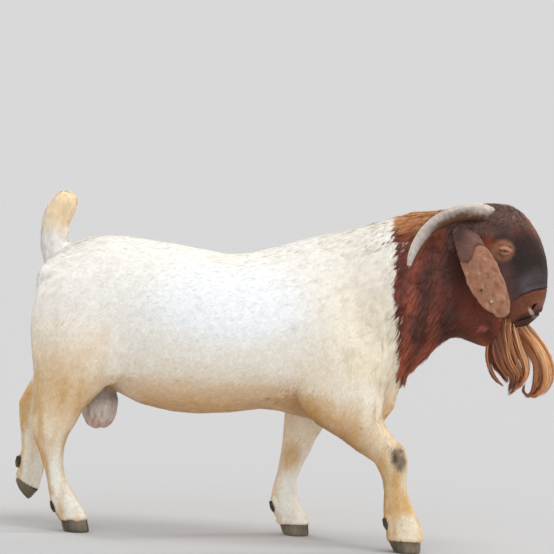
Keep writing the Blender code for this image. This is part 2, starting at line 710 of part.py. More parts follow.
def claw_ring(height, half_top, side):
    """One claw's outline at a share of its height: straight inside, bowed outside, pointed in front."""
    half_length = SOLE_LENGTH / 2 + (half_top - SOLE_LENGTH / 2) * height
    ring = []
    for a in np.linspace(0, 2 * math.pi, 12, endpoint=False):
        along, out = math.cos(a), math.sin(a)
        toe = 1.0 - 0.42 * max(0.0, along) ** 1.6
        y = CLEFT / 2 + (CLAW_WIDTH * power(out, 2.4) * toe if out > 0 else 0.0018 * out)
        x = along * half_length - CORONET_LEAN * height
        ring.append(Vector((x, side * y, height * CLAW_HEIGHT)))
    return ring


def foot_place(foot):
    sole, pitch, turn = FEET[foot][:3]
    return (
        Matrix.Translation(sole)
        @ Matrix.Rotation(math.radians(-turn), 4, "Z")
        @ Matrix.Rotation(math.radians(pitch), 4, "Y")
    )


def which_toe(foot, side):
    return "outer" if foot.endswith(SIDE_NAMES[side]) else "inner"


def make_claw(foot, side):
    """One of a foot's two claws, with a flat sole."""
    rings = []
    for height in (0.0, 0.18, 1.0):
        ring = claw_ring(height, FEET[foot][3], side)
        if height == 0.0:
            middle = sum(ring, Vector()) / len(ring)
            ring = [middle + (p - middle) * 0.94 for p in ring]
        rings.append(ring)
    place = foot_place(foot)
    rings = [[place @ p for p in ring] for ring in rings]
    name = f"claw_{foot}_{which_toe(foot, side)}"
    return add_object(name, mesh_of_rings(name, rings), "claw")


def make_dewclaw(foot, side):
    """A blunt cone that hangs behind the fetlock."""
    sole, pitch, _, _, (x, z) = FEET[foot]
    lean = math.radians(-16 + pitch * 0.4)
    down = Vector((-math.sin(lean), side * 0.10, -math.cos(lean))).normalized()
    out = Vector((-math.cos(lean), 0.0, math.sin(lean)))
    beside = down.cross(out)
    start = Vector((x, sole[1] + side * 0.0155, z)) - down * DEWCLAW_LENGTH * 0.4
    rings = []
    for share, radius in ((0.0, 0.0075), (0.55, 0.0090), (1.0, 0.0045)):
        rings.append([
            start
            + down * DEWCLAW_LENGTH * share
            + out * radius * math.cos(a)
            + beside * radius * math.sin(a)
            for a in np.linspace(0, 2 * math.pi, 8, endpoint=False)
        ])
    name = f"dewclaw_{foot}_{which_toe(foot, side)}"
    return add_object(name, mesh_of_rings(name, rings), "claw")


def make_eye(side):
    x, y, z = EYE_CENTRE
    eye = ball_mass(f"eye_{SIDE_NAMES[side]}", (x, side * y, z), (EYE_RADIUS,) * 3, segments=12)
    eye.data.materials.append(material("eye"))
    return eye


def surface_tree(obj):
    bm = bmesh.new()
    bm.from_mesh(obj.data)
    tree = BVHTree.FromBMesh(bm)
    bm.free()
    return tree


def cut_mouth(head):
    """A fine groove round the muzzle where the lips meet."""
    tree, middle = surface_tree(head), Vector(MOUTH_CENTRE)
    ahead, beside = Vector(MOUTH_FORWARD).normalized(), Vector((0, 1, 0))
    upward = ahead.cross(beside)
    rings = []
    for angle in np.radians(np.linspace(-MOUTH_SWING, MOUTH_SWING, 15)):
        away = ahead * math.cos(angle) + beside * math.sin(angle)
        lip = tree.ray_cast(middle, away)[0]
        radius = MOUTH_RADIUS * (0.4 + 0.6 * math.cos(angle / 2) ** 0.5)
        rings.append([
            lip + (away * math.cos(a) + upward * math.sin(a)) * radius
            for a in np.linspace(0, 2 * math.pi, 6, endpoint=False)
        ])
    groove = helper(add_object("cutter", mesh_of_rings("cutter", rings)))
    combine(head, groove, "DIFFERENCE")


def cut_nostrils(head):
    for side in (RIGHT, LEFT):
        x, y, z = NOSTRIL
        hollow = ball_mass("cutter", (x, side * y, z), NOSTRIL_HALF_SIZES, NOSTRIL_TURN, segments=10)
        combine(head, helper(hollow), "DIFFERENCE")


def trim(obj, neighbour):
    """Cuts obj back so that it meets its neighbour with the usual gap."""
    combine(obj, swollen(neighbour, "cutter", GAP), "DIFFERENCE")
    return largest_body(obj)


def stand_on_origin():
    """Puts the middle of the goat's box on the vertical axis, and its soles on the floor."""
    bpy.context.view_layer.update()
    corners = [
        obj.matrix_world @ Vector(c)
        for obj in bpy.data.objects
        if obj.type == "MESH" and not obj.hide_render
        for c in obj.bound_box
    ]
    low = Vector(map(min, zip(*corners)))
    high = Vector(map(max, zip(*corners)))
    shift = Vector((-(low.x + high.x) / 2, -(low.y + high.y) / 2, -low.z))
    for obj in bpy.data.objects:
        if obj.type == "MESH":
            obj.data.transform(Matrix.Translation(shift))
    return shift


def main():
    clear_scene()
    flesh = make_flesh()
    pieces = part_flesh(flesh)
    for name, piece in pieces.items():
        piece.name = name
        finish = "brown_coat" if name in ("head", "neck") else "white_coat"
        piece.data.materials.clear()
        piece.data.materials.append(material(finish))
    head, trunk = pieces["head"], pieces["trunk"]
    for side in (RIGHT, LEFT):
        eye = make_eye(side)
        combine(head, swollen(eye, "cutter", GAP), "DIFFERENCE")
        trim(make_horn(side), head)
        trim(make_ear(side), head)
    cut_mouth(head)
    cut_nostrils(head)
    largest_body(head)
    trim(make_beard(), head)
    scrotum = trim(make_scrotum(), trunk)
    for side in (RIGHT, LEFT):
        trim(scrotum, pieces[f"hindleg_{SIDE_NAMES[side]}_upper"])
    for foot in FEET:
        leg = pieces[foot.replace("fore_", "foreleg_").replace("hind_", "hindleg_") + "_lower"]
        for side in (RIGHT, LEFT):
            claw = make_claw(foot, side)
            combine(leg, swollen(claw, "cutter", GAP), "DIFFERENCE")
            trim(make_dewclaw(foot, side), leg)
        largest_body(leg)
    print("moved by", [round(v, 4) for v in stand_on_origin()])


main()
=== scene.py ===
"""A still, life-size buck goat: one skin, eyes, horns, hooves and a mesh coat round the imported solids.

Lengths are in metres. Landmarks are given in the goat's own frame and moved by ORIGIN, which comes
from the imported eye, so that they stay on the solids.
"""

import math

import bmesh
import bpy
import numpy as np
from mathutils import Matrix, Vector
from mathutils.bvhtree import BVHTree
from mathutils.kdtree import KDTree


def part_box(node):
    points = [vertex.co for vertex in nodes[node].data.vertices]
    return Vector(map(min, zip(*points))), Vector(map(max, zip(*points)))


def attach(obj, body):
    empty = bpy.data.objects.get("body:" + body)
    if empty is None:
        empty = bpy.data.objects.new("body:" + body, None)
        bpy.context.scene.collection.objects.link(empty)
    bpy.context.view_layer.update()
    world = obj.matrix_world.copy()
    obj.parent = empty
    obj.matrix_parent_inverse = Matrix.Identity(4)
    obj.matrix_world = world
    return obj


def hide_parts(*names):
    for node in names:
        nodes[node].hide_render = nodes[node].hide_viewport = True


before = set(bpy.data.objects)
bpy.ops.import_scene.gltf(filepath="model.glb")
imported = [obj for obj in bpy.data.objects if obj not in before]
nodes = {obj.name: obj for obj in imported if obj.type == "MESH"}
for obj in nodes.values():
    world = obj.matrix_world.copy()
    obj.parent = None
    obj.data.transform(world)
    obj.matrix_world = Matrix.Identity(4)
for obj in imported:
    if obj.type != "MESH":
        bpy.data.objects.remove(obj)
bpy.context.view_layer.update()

MM = 0.001
SIDES = {"right": -1, "left": 1}
EYE_HOME = np.array((0.563, 0.067, 0.7515))     # the left eye's middle in the goat's own frame
EYE_RADIUS = 15.0 * MM
eye_low, eye_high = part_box("eye_left")
ORIGIN = np.array((eye_low + eye_high) / 2) - EYE_HOME

FEET = [f"{end}_{side}" for end in ("fore", "hind") for side in SIDES]
LEGS = [f"{end}leg_{side}_{half}" for end in ("fore", "hind") for side in SIDES
        for half in ("upper", "lower")]
EARS = ["ear_right", "ear_left"]
EYES = ["eye_right", "eye_left"]
FLESH = ["trunk", "neck", "head", "tail", "scrotum", *EARS, *LEGS]

# Skin
SKIN_VOXEL = 2.7 * MM
SEAM_FILL = 0.9 * MM        # the solids are swollen by this, so that their seams close
SKIN_SHARE = 0.20           # faces kept after the voxels
EASING_ROUNDS = 110

# Depth of the coat over the skin, in mm, for each part.
COAT_DEPTH = {"trunk": 2.4, "neck": 6.0, "head": 1.6, "tail": 3.2, "scrotum": 0.6, "ear": 0.5,
              "upper": 2.2, "lower": 1.5}
# How far the facets of the solids are eased in each part, from 0 to 1.
EASING = {"trunk": 1.0, "neck": 1.0, "head": 0.20, "tail": 0.75, "scrotum": 0.35, "ear": 0.80,
          "upper": 0.75, "lower": 0.22}


def linear(hex_colour):
    """An sRGB hex colour as linear red, green and blue."""
    values = np.array([int(hex_colour[i : i + 2], 16) for i in (1, 3, 5)]) / 255
    return np.where(values <= 0.04045, values / 12.92, ((values + 0.055) / 1.055) ** 2.4)


def smoothstep(x, low, high):
    """0 at low and 1 at high and beyond, with a smooth step between. low may be the higher of the two."""
    t = np.clip((x - low) / (high - low), 0, 1)
    return t * t * (3 - 2 * t)


def unit(v):
    return v / np.maximum(np.linalg.norm(v, axis=-1, keepdims=True), 1e-12)


def curve_rows(rows, steps):
    """Rows of numbers made denser along a Catmull-Rom curve."""
    rows = np.array(rows, float)
    padded = np.vstack([2 * rows[0] - rows[1], rows, 2 * rows[-1] - rows[-2]])
    made = []
    for a, b, c, d in zip(padded, padded[1:], padded[2:], padded[3:]):
        for t in np.linspace(0, 1, steps, endpoint=False):
            made.append(0.5 * (2 * b + (c - a) * t + (2 * a - 5 * b + 4 * c - d) * t**2
                               + (3 * b - a - 3 * c + d) * t**3))
    made.append(rows[-1])
    return np.array(made)


def wander(points, size, seed):
    """A smooth noise, mostly from -1 to 1, whose bumps are about this size."""
    rng = np.random.default_rng(seed)
    total = np.zeros(len(points))
    for _ in range(5):
        direction = unit(rng.normal(size=3)) * (2 * math.pi / size) * rng.uniform(0.35, 0.75)
        total += np.sin(points @ direction + rng.uniform(0, 2 * math.pi))
    return total / 3.2


# ---------------------------------------------------------------- meshes

def add_object(name, data):
    obj = bpy.data.objects.new(name, data)
    bpy.context.scene.collection.objects.link(obj)
    return obj


def mesh_of(name, points, faces):
    """A mesh from an array of points and an array of faces with the same number of corners."""
    mesh = bpy.data.meshes.new(name)
    corners = faces.shape[1]
    mesh.vertices.add(len(points))
    mesh.vertices.foreach_set("co", np.ascontiguousarray(points, np.float32).ravel())
    mesh.loops.add(faces.size)
    mesh.loops.foreach_set("vertex_index", np.ascontiguousarray(faces, np.int32).ravel())
    mesh.polygons.add(len(faces))
    mesh.polygons.foreach_set("loop_start", np.arange(0, faces.size, corners, dtype=np.int32))
    mesh.update(calc_edges=True)
    return mesh


def points_of(mesh):
    co = np.empty(len(mesh.vertices) * 3, np.float32)
    mesh.vertices.foreach_get("co", co)
    return co.reshape(-1, 3).astype(float)


def set_points(mesh, points):
    mesh.vertices.foreach_set("co", np.ascontiguousarray(points, np.float32).ravel())
    mesh.update()


def edges_of(mesh):
    ends = np.empty(len(mesh.edges) * 2, np.int32)
    mesh.edges.foreach_get("vertices", ends)
    return ends.reshape(-1, 2)


def triangles_of(mesh):
    mesh.calc_loop_triangles()
    tris = np.empty(len(mesh.loop_triangles) * 3, np.int32)
    mesh.loop_triangles.foreach_get("vertices", tris)
    return tris.reshape(-1, 3)


def normals_of(points, tris):
    a, b, c = points[tris[:, 0]], points[tris[:, 1]], points[tris[:, 2]]
    face = np.cross(b - a, c - a)
    total = np.zeros_like(points)
    for corner in range(3):
        for axis in range(3):
            total[:, axis] += np.bincount(tris[:, corner], face[:, axis], len(points))
    return unit(total)


def neighbour_mean(values, ends, count):
    """The mean of each point's neighbours."""
    made = np.empty_like(values)
    for axis in range(values.shape[1]):
        made[:, axis] = (
            np.bincount(ends[:, 0], values[ends[:, 1], axis], len(values))
            + np.bincount(ends[:, 1], values[ends[:, 0], axis], len(values))
        )
    return made / count[:, None]


def spread(values, ends, rounds, share=0.5):
    """Values on points evened out over their neighbours. share may differ from point to point."""
    flat = values.ndim == 1
    values = values[:, None] if flat else values
    count = np.maximum(np.bincount(ends.ravel(), minlength=len(values)), 1)
    share = np.broadcast_to(share, len(values))[:, None]
    for _ in range(rounds):
        values = values + share * (neighbour_mean(values, ends, count) - values)
    return values[:, 0] if flat else values


def evaluated(obj):
    """A mesh of the object with its modifiers."""
    graph = bpy.context.evaluated_depsgraph_get()
    graph.update()
    return bpy.data.meshes.new_from_object(obj.evaluated_get(graph))


def applied(obj):
    """The object with its modifiers made part of its mesh."""
    mesh = evaluated(obj)
    obj.modifiers.clear()
    obj.data = mesh
    return obj


def merged(name, sources, swell=0.0):
    """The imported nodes' meshes in one, with their loose triangles joined."""
    bm = bmesh.new()
    for source in sources:
        bm.from_mesh(nodes[source].data)
    bmesh.ops.remove_doubles(bm, verts=bm.verts, dist=1e-5)
    bm.normal_update()
    for v in bm.verts:
        v.co += v.normal * swell
    mesh = bpy.data.meshes.new(name)
    bm.to_mesh(mesh)
    bm.free()
    return add_object(name, mesh)


def voxelled(obj, size):
    """The object remeshed in cubes of this size, so that what overlaps is one."""
    remesh = obj.modifiers.new("Voxels", "REMESH")
    remesh.mode = "VOXEL"
    remesh.voxel_size = size
    return applied(obj)


def thinned(obj, share, coarse=None):
    """The object with this share of its faces. Those where coarse is high go first."""
    thin = obj.modifiers.new("Thin", "DECIMATE")
    thin.ratio = share
    if coarse is not None:
        group = obj.vertex_groups.new(name="coarse")
        for level in np.unique(coarse):
            group.add(np.flatnonzero(coarse == level).tolist(), float(level), "REPLACE")
        thin.vertex_group = "coarse"
        thin.vertex_group_factor = 1.0
    applied(obj)
    obj.vertex_groups.clear()
    return obj


def refined(mesh, near, longest):
    """Edges longer than this are split where near says so."""
    bm = bmesh.new()
    bm.from_mesh(mesh)
    for _ in range(3):
        co = np.array([v.co for v in bm.verts])
        close = near(co)
        bm.verts.ensure_lookup_table()
        cut = [e for e in bm.edges
               if close[e.verts[0].index] and close[e.verts[1].index] and e.calc_length() > longest]
        if not cut:
            break
        bmesh.ops.subdivide_edges(bm, edges=cut, cuts=1, use_grid_fill=True)
        bmesh.ops.triangulate(bm, faces=[f for f in bm.faces if len(f.verts) > 3])
        bm.verts.index_update()
    bm.to_mesh(mesh)
    bm.free()
    return mesh


def tree_of(names):
    """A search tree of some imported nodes' faces, and which of the names each face is from."""
    points, tris, owner = [], [], []
    for number, name in enumerate(names):
        faces = triangles_of(nodes[name].data)
        tris += [tuple(int(i) + len(points) for i in f) for f in faces]
        points += [Vector(p) for p in points_of(nodes[name].data)]
        owner += [number] * len(faces)
    return BVHTree.FromPolygons(points, tris), np.array(owner)


flesh_tree, face_part = tree_of(FLESH)


def parts(points):
    """Which part of the body each point belongs to, as a place in FLESH, from the nearest packed face."""
    return face_part[[flesh_tree.find_nearest(p)[2] for p in points.tolist()]]


def on_part(owner, *names):
    """Where a point belongs to one of these parts."""
    return np.isin(owner, [FLESH.index(name) for name in names])


HOOF_TOP = 0.24             # nothing above this height is near a hoof
CORONET_SWELL = 1.2         # mm that the skin stands over the top of each hoof
LIFTED_FOOT, LIFTED_FOOT_REACH = "hind_left", 65 * MM
# The lifted foot's claws reach up into the leg, so the skin goes on inside them: a place on their coronet,
# the way up from it, and how deep the skin lies below it, in mm.
CORONET_PLACE, CORONET_UP = np.array((-0.628, 0.099, 0.0935)), np.array((0.49, 0.0, 0.87))
CORONET_SINK = 5.0
CLAWS = {foot: [f"{kind}_{foot}_{place}" for kind in ("claw", "dewclaw") for place in ("inner", "outer")]
         for foot in FEET}
LIFTED_CLAWS = [name for name in CLAWS[LIFTED_FOOT] if name.startswith("claw")]

hoof_tree, _ = tree_of([name for foot in FEET for name in CLAWS[foot]])


def by_part(values, owner):
    """One number for each point, from a table by part."""
    table = np.array([
        values.get(name, values["ear"] if name in EARS else values.get(name.split("_")[-1], 0.0))
        for name in FLESH
    ])
    return table[owner]


def eased_by(obj, rounds, share):
    """The object smoothed, each point by its own share."""
    group = obj.vertex_groups.new(name="share")
    levels = np.round(share, 2)
    for level in np.unique(levels):
        group.add(np.flatnonzero(levels == level).tolist(), float(level), "REPLACE")
    smooth = obj.modifiers.new("Ease", "SMOOTH")
    smooth.factor = 0.5
    smooth.iterations = rounds
    smooth.vertex_group = "share"
    applied(obj)
    obj.vertex_groups.clear()


def near_face(points):
    """Where a point is close to an eye, a nostril or the lips."""
    away = [np.linalg.norm(mirrored(points) - at(*place), axis=1) for place in REFINED]
    return np.any(np.array(away) < REFINED_WITHIN, axis=0)


def near_brown(points):
    """Where white meets brown, so that the two don't blur."""
    return np.abs(brown_reach(points)) < BROWN_BAND


def make_skin():
    """The flesh nodes grown into one, their facets eased, and thinned where the form is plain."""
    skin = voxelled(merged("skin", FLESH + EYES + LIFTED_CLAWS, SEAM_FILL), SKIN_VOXEL)
    points, ends, tris = points_of(skin.data), edges_of(skin.data), triangles_of(skin.data)
    owner = parts(points)
    share = spread(by_part(EASING, owner), ends, 6)
    eased_by(skin, EASING_ROUNDS, share)
    eased = points_of(skin.data)
    normal = normals_of(eased, tris)
    lost = spread(np.einsum("ij,ij->i", points - eased, normal), ends, 40, share * 0.5)
    set_points(skin.data, eased + normal * (lost - SEAM_FILL)[:, None])
    coarse = spread(by_part(COARSE, owner), ends, 4) * (1 - near_hoof(points, 8 * MM, 20 * MM))
    thinned(skin, SKIN_SHARE, np.round(coarse, 1))
    refined(skin.data, near_face, REFINED_EDGE)
    refined(skin.data, near_brown, BROWN_BAND_EDGE)
    return skin


def brown_reach(points):
    """How far in front of the line where the white coat ends a point is."""
    x, _, z = (points - ORIGIN).T
    return (x - 0.314) * 0.996 + (z - 0.65) * 0.092


def at(x, y, z):
    """A landmark of the goat's own frame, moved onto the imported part."""
    return np.array((x, y, z)) + ORIGIN


def mirrored(points):
    """The points with both sides laid on the left one."""
    return np.column_stack([points[:, 0], np.abs(points[:, 1]), points[:, 2]])


def blot(points, centre, half_sizes, turn=0.0, soft=0.35, both_sides=True):
    """1 inside a soft ellipsoid and 0 outside it. turn is about Y, in degrees, and lifts its front."""
    q = (mirrored(points) if both_sides else points) - at(*centre)
    c, s = math.cos(math.radians(turn)), math.sin(math.radians(turn))
    q = np.column_stack([q[:, 0] * c + q[:, 2] * s, q[:, 1], -q[:, 0] * s + q[:, 2] * c])
    return 1 - smoothstep(np.linalg.norm(q / np.array(half_sizes), axis=1), 1 - soft, 1 + soft)


def nearest_on(line, points):
    """For each point: how far along the line its nearest place is, from 0 to 1, and the offset from it."""
    best = np.full(len(points), 1e9)
    along, offset = np.zeros(len(points)), np.zeros_like(points)
    lengths = np.concatenate([[0], np.cumsum(np.linalg.norm(np.diff(line, axis=0), axis=1))])
    for i, (a, b) in enumerate(zip(line, line[1:])):
        t = np.clip((points - a) @ (b - a) / ((b - a) @ (b - a)), 0, 1)
        away = points - (a + t[:, None] * (b - a))
        distance = np.linalg.norm(away, axis=1)
        closer = distance < best
        best[closer], offset[closer] = distance[closer], away[closer]
        along[closer] = (lengths[i] + t * (lengths[i + 1] - lengths[i]))[closer] / lengths[-1]
    return along, offset


# ---------------------------------------------------------------- landmarks

# How far the skin is thinned in each part, from 0 to 1.
COARSE = {"trunk": 1.0, "neck": 1.0, "head": 0.0, "tail": 0.5, "scrotum": 0.4, "ear": 0.0,
          "upper": 0.9, "lower": 0.4}
REFINED = ((0.563, 0.080, 0.7515), (0.643, 0.040, 0.616), (0.636, 0.036, 0.594))   # eye, nostril, lips
REFINED_WITHIN, REFINED_EDGE = 24 * MM, 1.3 * MM
BROWN_BAND, BROWN_BAND_EDGE = 45 * MM, 7 * MM
BROWN_UNDER_HAIR = 16 * MM

GAZE = np.array((0.16, 0.98, 0.06))
LID_THICKNESS = 1.7 * MM
LID_HALF_LENGTH = 11.5 * MM
LID_RISE = (1.7 * MM, 3.4 * MM)          # of the upper and lower lid from the line of the corners
LID_TILT = 6.0                           # degrees
LID_REACH = 30 * MM                      # from the eye's middle
LID_BLEND = 2.0 * MM                     # half the height over which the lid runs out into the face
OPENING_DEPTH = 2.2 * MM                 # of the skin under the eyeball's surface, between the lids
CORNEA_RISE = 0.035                      # share of the eyeball's radius
IRIS_RADIUS = 12.5 * MM
PUPIL_HALF_SIZES = (5.2 * MM, 2.0 * MM)

# Forms under the skin of the head and body: middle, half sizes, turn, and height in mm.
FORMS = (
    ((0.560, 0.070, 0.783), (0.036, 0.030, 0.012), -8, 3.4),    # brow
    ((0.566, 0.074, 0.727), (0.024, 0.025, 0.009), 4, 2.2),     # bag under the eye
    ((0.607, 0.052, 0.742), (0.024, 0.030, 0.034), 0, -3.0),    # hollow in front of the eye
    ((0.520, 0.074, 0.738), (0.044, 0.025, 0.010), 14, 2.4),    # cheekbone
    ((0.498, 0.066, 0.668), (0.040, 0.035, 0.042), 30, 3.5),    # chewing muscle
    ((0.575, 0.046, 0.655), (0.030, 0.030, 0.020), 40, -2.6),   # hollow behind the lips
    ((0.655, 0.026, 0.700), (0.022, 0.022, 0.030), 0, -1.6),    # side of the nose
    ((0.645, 0.040, 0.620), (0.015, 0.020, 0.016), 0, 3.0),     # wing of the nostril
    ((0.624, 0.042, 0.603), (0.022, 0.020, 0.012), 20, 2.6),    # upper lip
    ((0.622, 0.030, 0.575), (0.020, 0.020, 0.008), 30, 2.0),    # lower lip and chin
    ((0.618, 0.046, 0.622), (0.006, 0.020, 0.016), 20, -1.6),   # groove behind the nostril
    ((0.548, 0.022, 0.862), (0.030, 0.030, 0.016), -20, 3.0),   # poll between the horns
    ((0.150, 0.150, 0.560), (0.050, 0.050, 0.120), -28, 3.5),   # shoulder blade
    ((0.090, 0.160, 0.500), (0.022, 0.050, 0.130), -30, -4.0),  # hollow behind the shoulder
    ((-0.395, 0.150, 0.600), (0.040, 0.050, 0.050), 0, 4.0),    # point of the hip
    ((-0.330, 0.160, 0.560), (0.050, 0.060, 0.070), 20, -5.0),  # hollow of the flank
    ((-0.450, 0.140, 0.480), (0.070, 0.060, 0.110), 16, 4.0),   # ham
    ((-0.560, 0.120, 0.480), (0.018, 0.060, 0.120), 0, -2.5),   # groove at the back of the thigh
    ((0.310, 0.120, 0.620), (0.040, 0.050, 0.120), 10, 3.0),    # neck muscle
)
# Where the coat lies deeper over the skin than its part's: middle, half sizes and mm.
DEPTH_CHANGES = (
    ((0.545, 0.0, 0.845), (0.035, 0.060, 0.035), 5.0),          # between the horns
    ((0.64, 0, 0.61), (0.05, 0.08, 0.05), -1.2),                # muzzle
)
SKIN_FOLDS = (        # ends of each crease, its half width and depth in mm
    ((0.222, 0.120, 0.372), (0.262, 0.110, 0.338), 6.0, 4.0),     # arm to brisket
    ((0.250, 0.115, 0.405), (0.290, 0.105, 0.375), 7.0, 3.0),
    ((0.392, 0.080, 0.540), (0.452, 0.070, 0.588), 7.0, 5.0),     # behind the jaw
    ((-0.345, 0.150, 0.470), (-0.395, 0.130, 0.375), 9.0, 4.0),   # flank fold before the thigh
    ((0.075, 0.130, 0.400), (0.120, 0.120, 0.330), 8.0, 4.5),     # behind the elbow
    ((0.165, 0.140, 0.420), (0.205, 0.125, 0.345), 9.0, 4.0),     # before the elbow
    ((0.285, 0.120, 0.560), (0.262, 0.130, 0.430), 12.0, 3.5),    # neck into shoulder
)

MUZZLE_EDGE = (
    (0.560, 0.600), (0.596, 0.633), (0.612, 0.646), (0.636, 0.656), (0.667, 0.663), (0.690, 0.664),
)
MOUTH_MIDDLE, MOUTH_UP = (0.612, 0.0, 0.584), np.array((-0.36, 0.0, 0.93))
MOUTH_CORNER_X = 0.600
NOSTRIL = (0.6415, 0.0420, 0.6190)
NOSTRIL_LINE, NOSTRIL_OUT = np.array((0.45, 0.0, 0.89)), np.array((0.36, 0.93, -0.05))
NOSTRIL_HALF_SIZES = (9.5, 3.2)          # mm
SCROTUM_X = -0.432

EAR_LINE = curve_rows([
    (0.446, 0.050, 0.790), (0.458, 0.074, 0.790), (0.472, 0.097, 0.774), (0.486, 0.112, 0.748),
    (0.506, 0.120, 0.712), (0.528, 0.124, 0.670), (0.550, 0.125, 0.634), (0.568, 0.125, 0.609),
    (0.580, 0.124, 0.593),
], 4) + ORIGIN
EAR_FOLD = 0.36         # share of the ear's length at its crease
# A hole, a scar and a wart on the near ear: x and z, radius and height of the form in mm, then radius of
# the marking in mm, its colour and its strength.
EAR_MARKS = (
    (0.515, 0.655, 3.2, -2.6, 3.4, "hole", 0.95),
    (0.541, 0.629, 3.0, 1.0, 3.0, "ear scar", 0.8),
    (0.508, 0.695, 2.5, 0.7, 2.4, "ear wart", 0.6),
)


def ear_share(points):
    """How far down the ear a point is, from 0 to 1, with the ear's crease level, and its offset."""
    along, offset = nearest_on(EAR_LINE, mirrored(points))
    return along + 0.05 * np.sin(offset[:, 0] * 90), offset


# Places along the horn's middle line, with its radius at each.
HORN_LINE = (
    (0.536, 0.022, 0.812, 0.0225), (0.528, 0.038, 0.832, 0.0225), (0.508, 0.050, 0.841, 0.0225),
    (0.478, 0.064, 0.843, 0.0215), (0.440, 0.084, 0.835, 0.0205), (0.405, 0.105, 0.818, 0.0185),
    (0.376, 0.122, 0.793, 0.0158), (0.354, 0.135, 0.762, 0.0128), (0.342, 0.144, 0.731, 0.0100),
    (0.337, 0.149, 0.706, 0.0060),
)


def near_hoof(points, low, high):
    """1 close to a hoof, and 0 further off than the higher of these two distances."""
    close = np.ones(len(points))
    low_down = np.flatnonzero(points[:, 2] < HOOF_TOP)
    distance = np.array([hoof_tree.find_nearest(p)[3] for p in points[low_down].tolist()])
    close[low_down] = smoothstep(distance, low, high)
    return 1 - close


def muzzle_height(local):
    """How far a point is above the line where the bare-looking muzzle ends."""
    return local[:, 2] - np.interp(local[:, 0], *zip(*MUZZLE_EDGE))


def ridge(value, middle, half_width):
    """A rounded ridge: 1 at its middle, falling off on both sides."""
    return np.exp(-((value - middle) / half_width) ** 2)


def in_lifted_hoof(points):
    """1 below the coronet of the lifted foot, and 0 elsewhere."""
    away = points - ORIGIN - CORONET_PLACE
    below = smoothstep(-(away @ CORONET_UP), -0.8 * MM, 0.8 * MM)
    return below * (np.linalg.norm(away, axis=1) < LIFTED_FOOT_REACH)


def coat_depth(points, ends, owner):
    """How far the skin lies under the outline, in mm. Over the top of each hoof it stands out instead."""
    depth = spread(by_part(COAT_DEPTH, owner), ends, 10)
    band = near_hoof(points, 4 * MM, 15 * MM)
    depth = depth * (1 - band) - CORONET_SWELL * band
    depth += (CORONET_SINK - depth) * in_lifted_hoof(points)
    for middle, half_sizes, deeper in DEPTH_CHANGES:
        depth += deeper * blot(points, middle, half_sizes)
    return depth


def body_forms(points):
    """Muscles, bones, hollows and folds, as a rise in mm."""
    lift = np.zeros(len(points))
    for middle, half_sizes, turn, height in FORMS:
        lift += height * blot(points, middle, half_sizes, turn, soft=0.9)
    for start, end, half_width, fall in SKIN_FOLDS:
        along, offset = nearest_on(np.array([at(*start), at(*end)]), mirrored(points))
        fade = np.sin(np.pi * np.clip(along, 0.0, 1.0)) ** 0.5
        lift -= fall * fade * ridge(np.linalg.norm(offset, axis=1), 0, half_width * MM)
    return lift


def muzzle_forms(points):
    """Creases over the muzzle, its rolled edge, and the lips with the line between them."""
    local = mirrored(points) - ORIGIN
    above = muzzle_height(local) / MM
    front = smoothstep(local[:, 0], 0.585, 0.615)
    creased = front * smoothstep(above, 0.0, 3.0) * (1 - smoothstep(above, 12, 20))
    lift = 0.8 * creased * np.sin(above * 1.25 + wander(points, 0.04, 3))
    rolled = 1.2 * ridge(above, 4.0, 3.0) - 1.8 * ridge(above, 0, 1.8) + 1.0 * ridge(above, -6.0, 4.0)
    mouth = (local - MOUTH_MIDDLE) @ MOUTH_UP / MM
    lips = smoothstep(local[:, 0], MOUTH_CORNER_X - 0.004, MOUTH_CORNER_X + 0.008)
    pursed = 1.6 * ridge(mouth, 4.5, 2.8) + 1.2 * ridge(mouth, -4.0, 2.8) - 3.2 * ridge(mouth, 0, 1.2)
    return lift + front * rolled + lips * pursed


def on_mark(points, mark, radius):
    """How far a point is from one of the near ear's marks, as a share of its radius in mm."""
    x, _, z = (points - ORIGIN).T
    return np.hypot(x - mark[0], z - mark[1]) / (radius * MM)


def ear_forms(points):
    """The crease where the ear turns down, its uneven hide, its thick edge, and the near ear's marks."""
    along, offset = ear_share(points)
    outer = offset[:, 1] > -1 * MM
    lift = -1.8 * outer * ridge(along, EAR_FOLD, 0.014)
    lift += 0.35 * wander(points, 0.016, 5) + 0.25 * wander(points, 0.007, 6)
    lift += 0.5 * smoothstep(np.linalg.norm(offset, axis=1), 0.030, 0.046)
    for mark in EAR_MARKS:
        lift += (points[:, 1] < 0) * outer * mark[3] * np.exp(-on_mark(points, mark, mark[2]) ** 2)
    return lift


def scrotum_forms(points):
    """Wrinkles that run down the scrotum, and the groove between its halves."""
    local = mirrored(points) - ORIGIN
    turn = np.arctan2(local[:, 1] * np.sign(points[:, 1]), local[:, 0] - SCROTUM_X)
    lift = 0.5 * np.sin(turn * 26 + 1.6 * wander(points, 0.05, 7)) + 0.4 * wander(points, 0.012, 8)
    return lift - 3.0 * ridge(local[:, 1], 0, 3 * MM)


def sculpt(points, tris, ends, owner):
    """The skin drawn in by the coat's depth, with the forms and folds that the solids leave out."""
    normal = normals_of(points, tris)
    ear = on_part(owner, *EARS)
    lift = body_forms(points) - coat_depth(points, ends, owner)
    lift += on_part(owner, "head") * muzzle_forms(points)
    lift += ear * ear_forms(points) + on_part(owner, "scrotum") * scrotum_forms(points)
    # The blade's edge is even.
    points = spread(points, ends, 6, 0.6 * ear) + normal * (lift * MM)[:, None]
    return shape_lids(carve_nostrils(points))


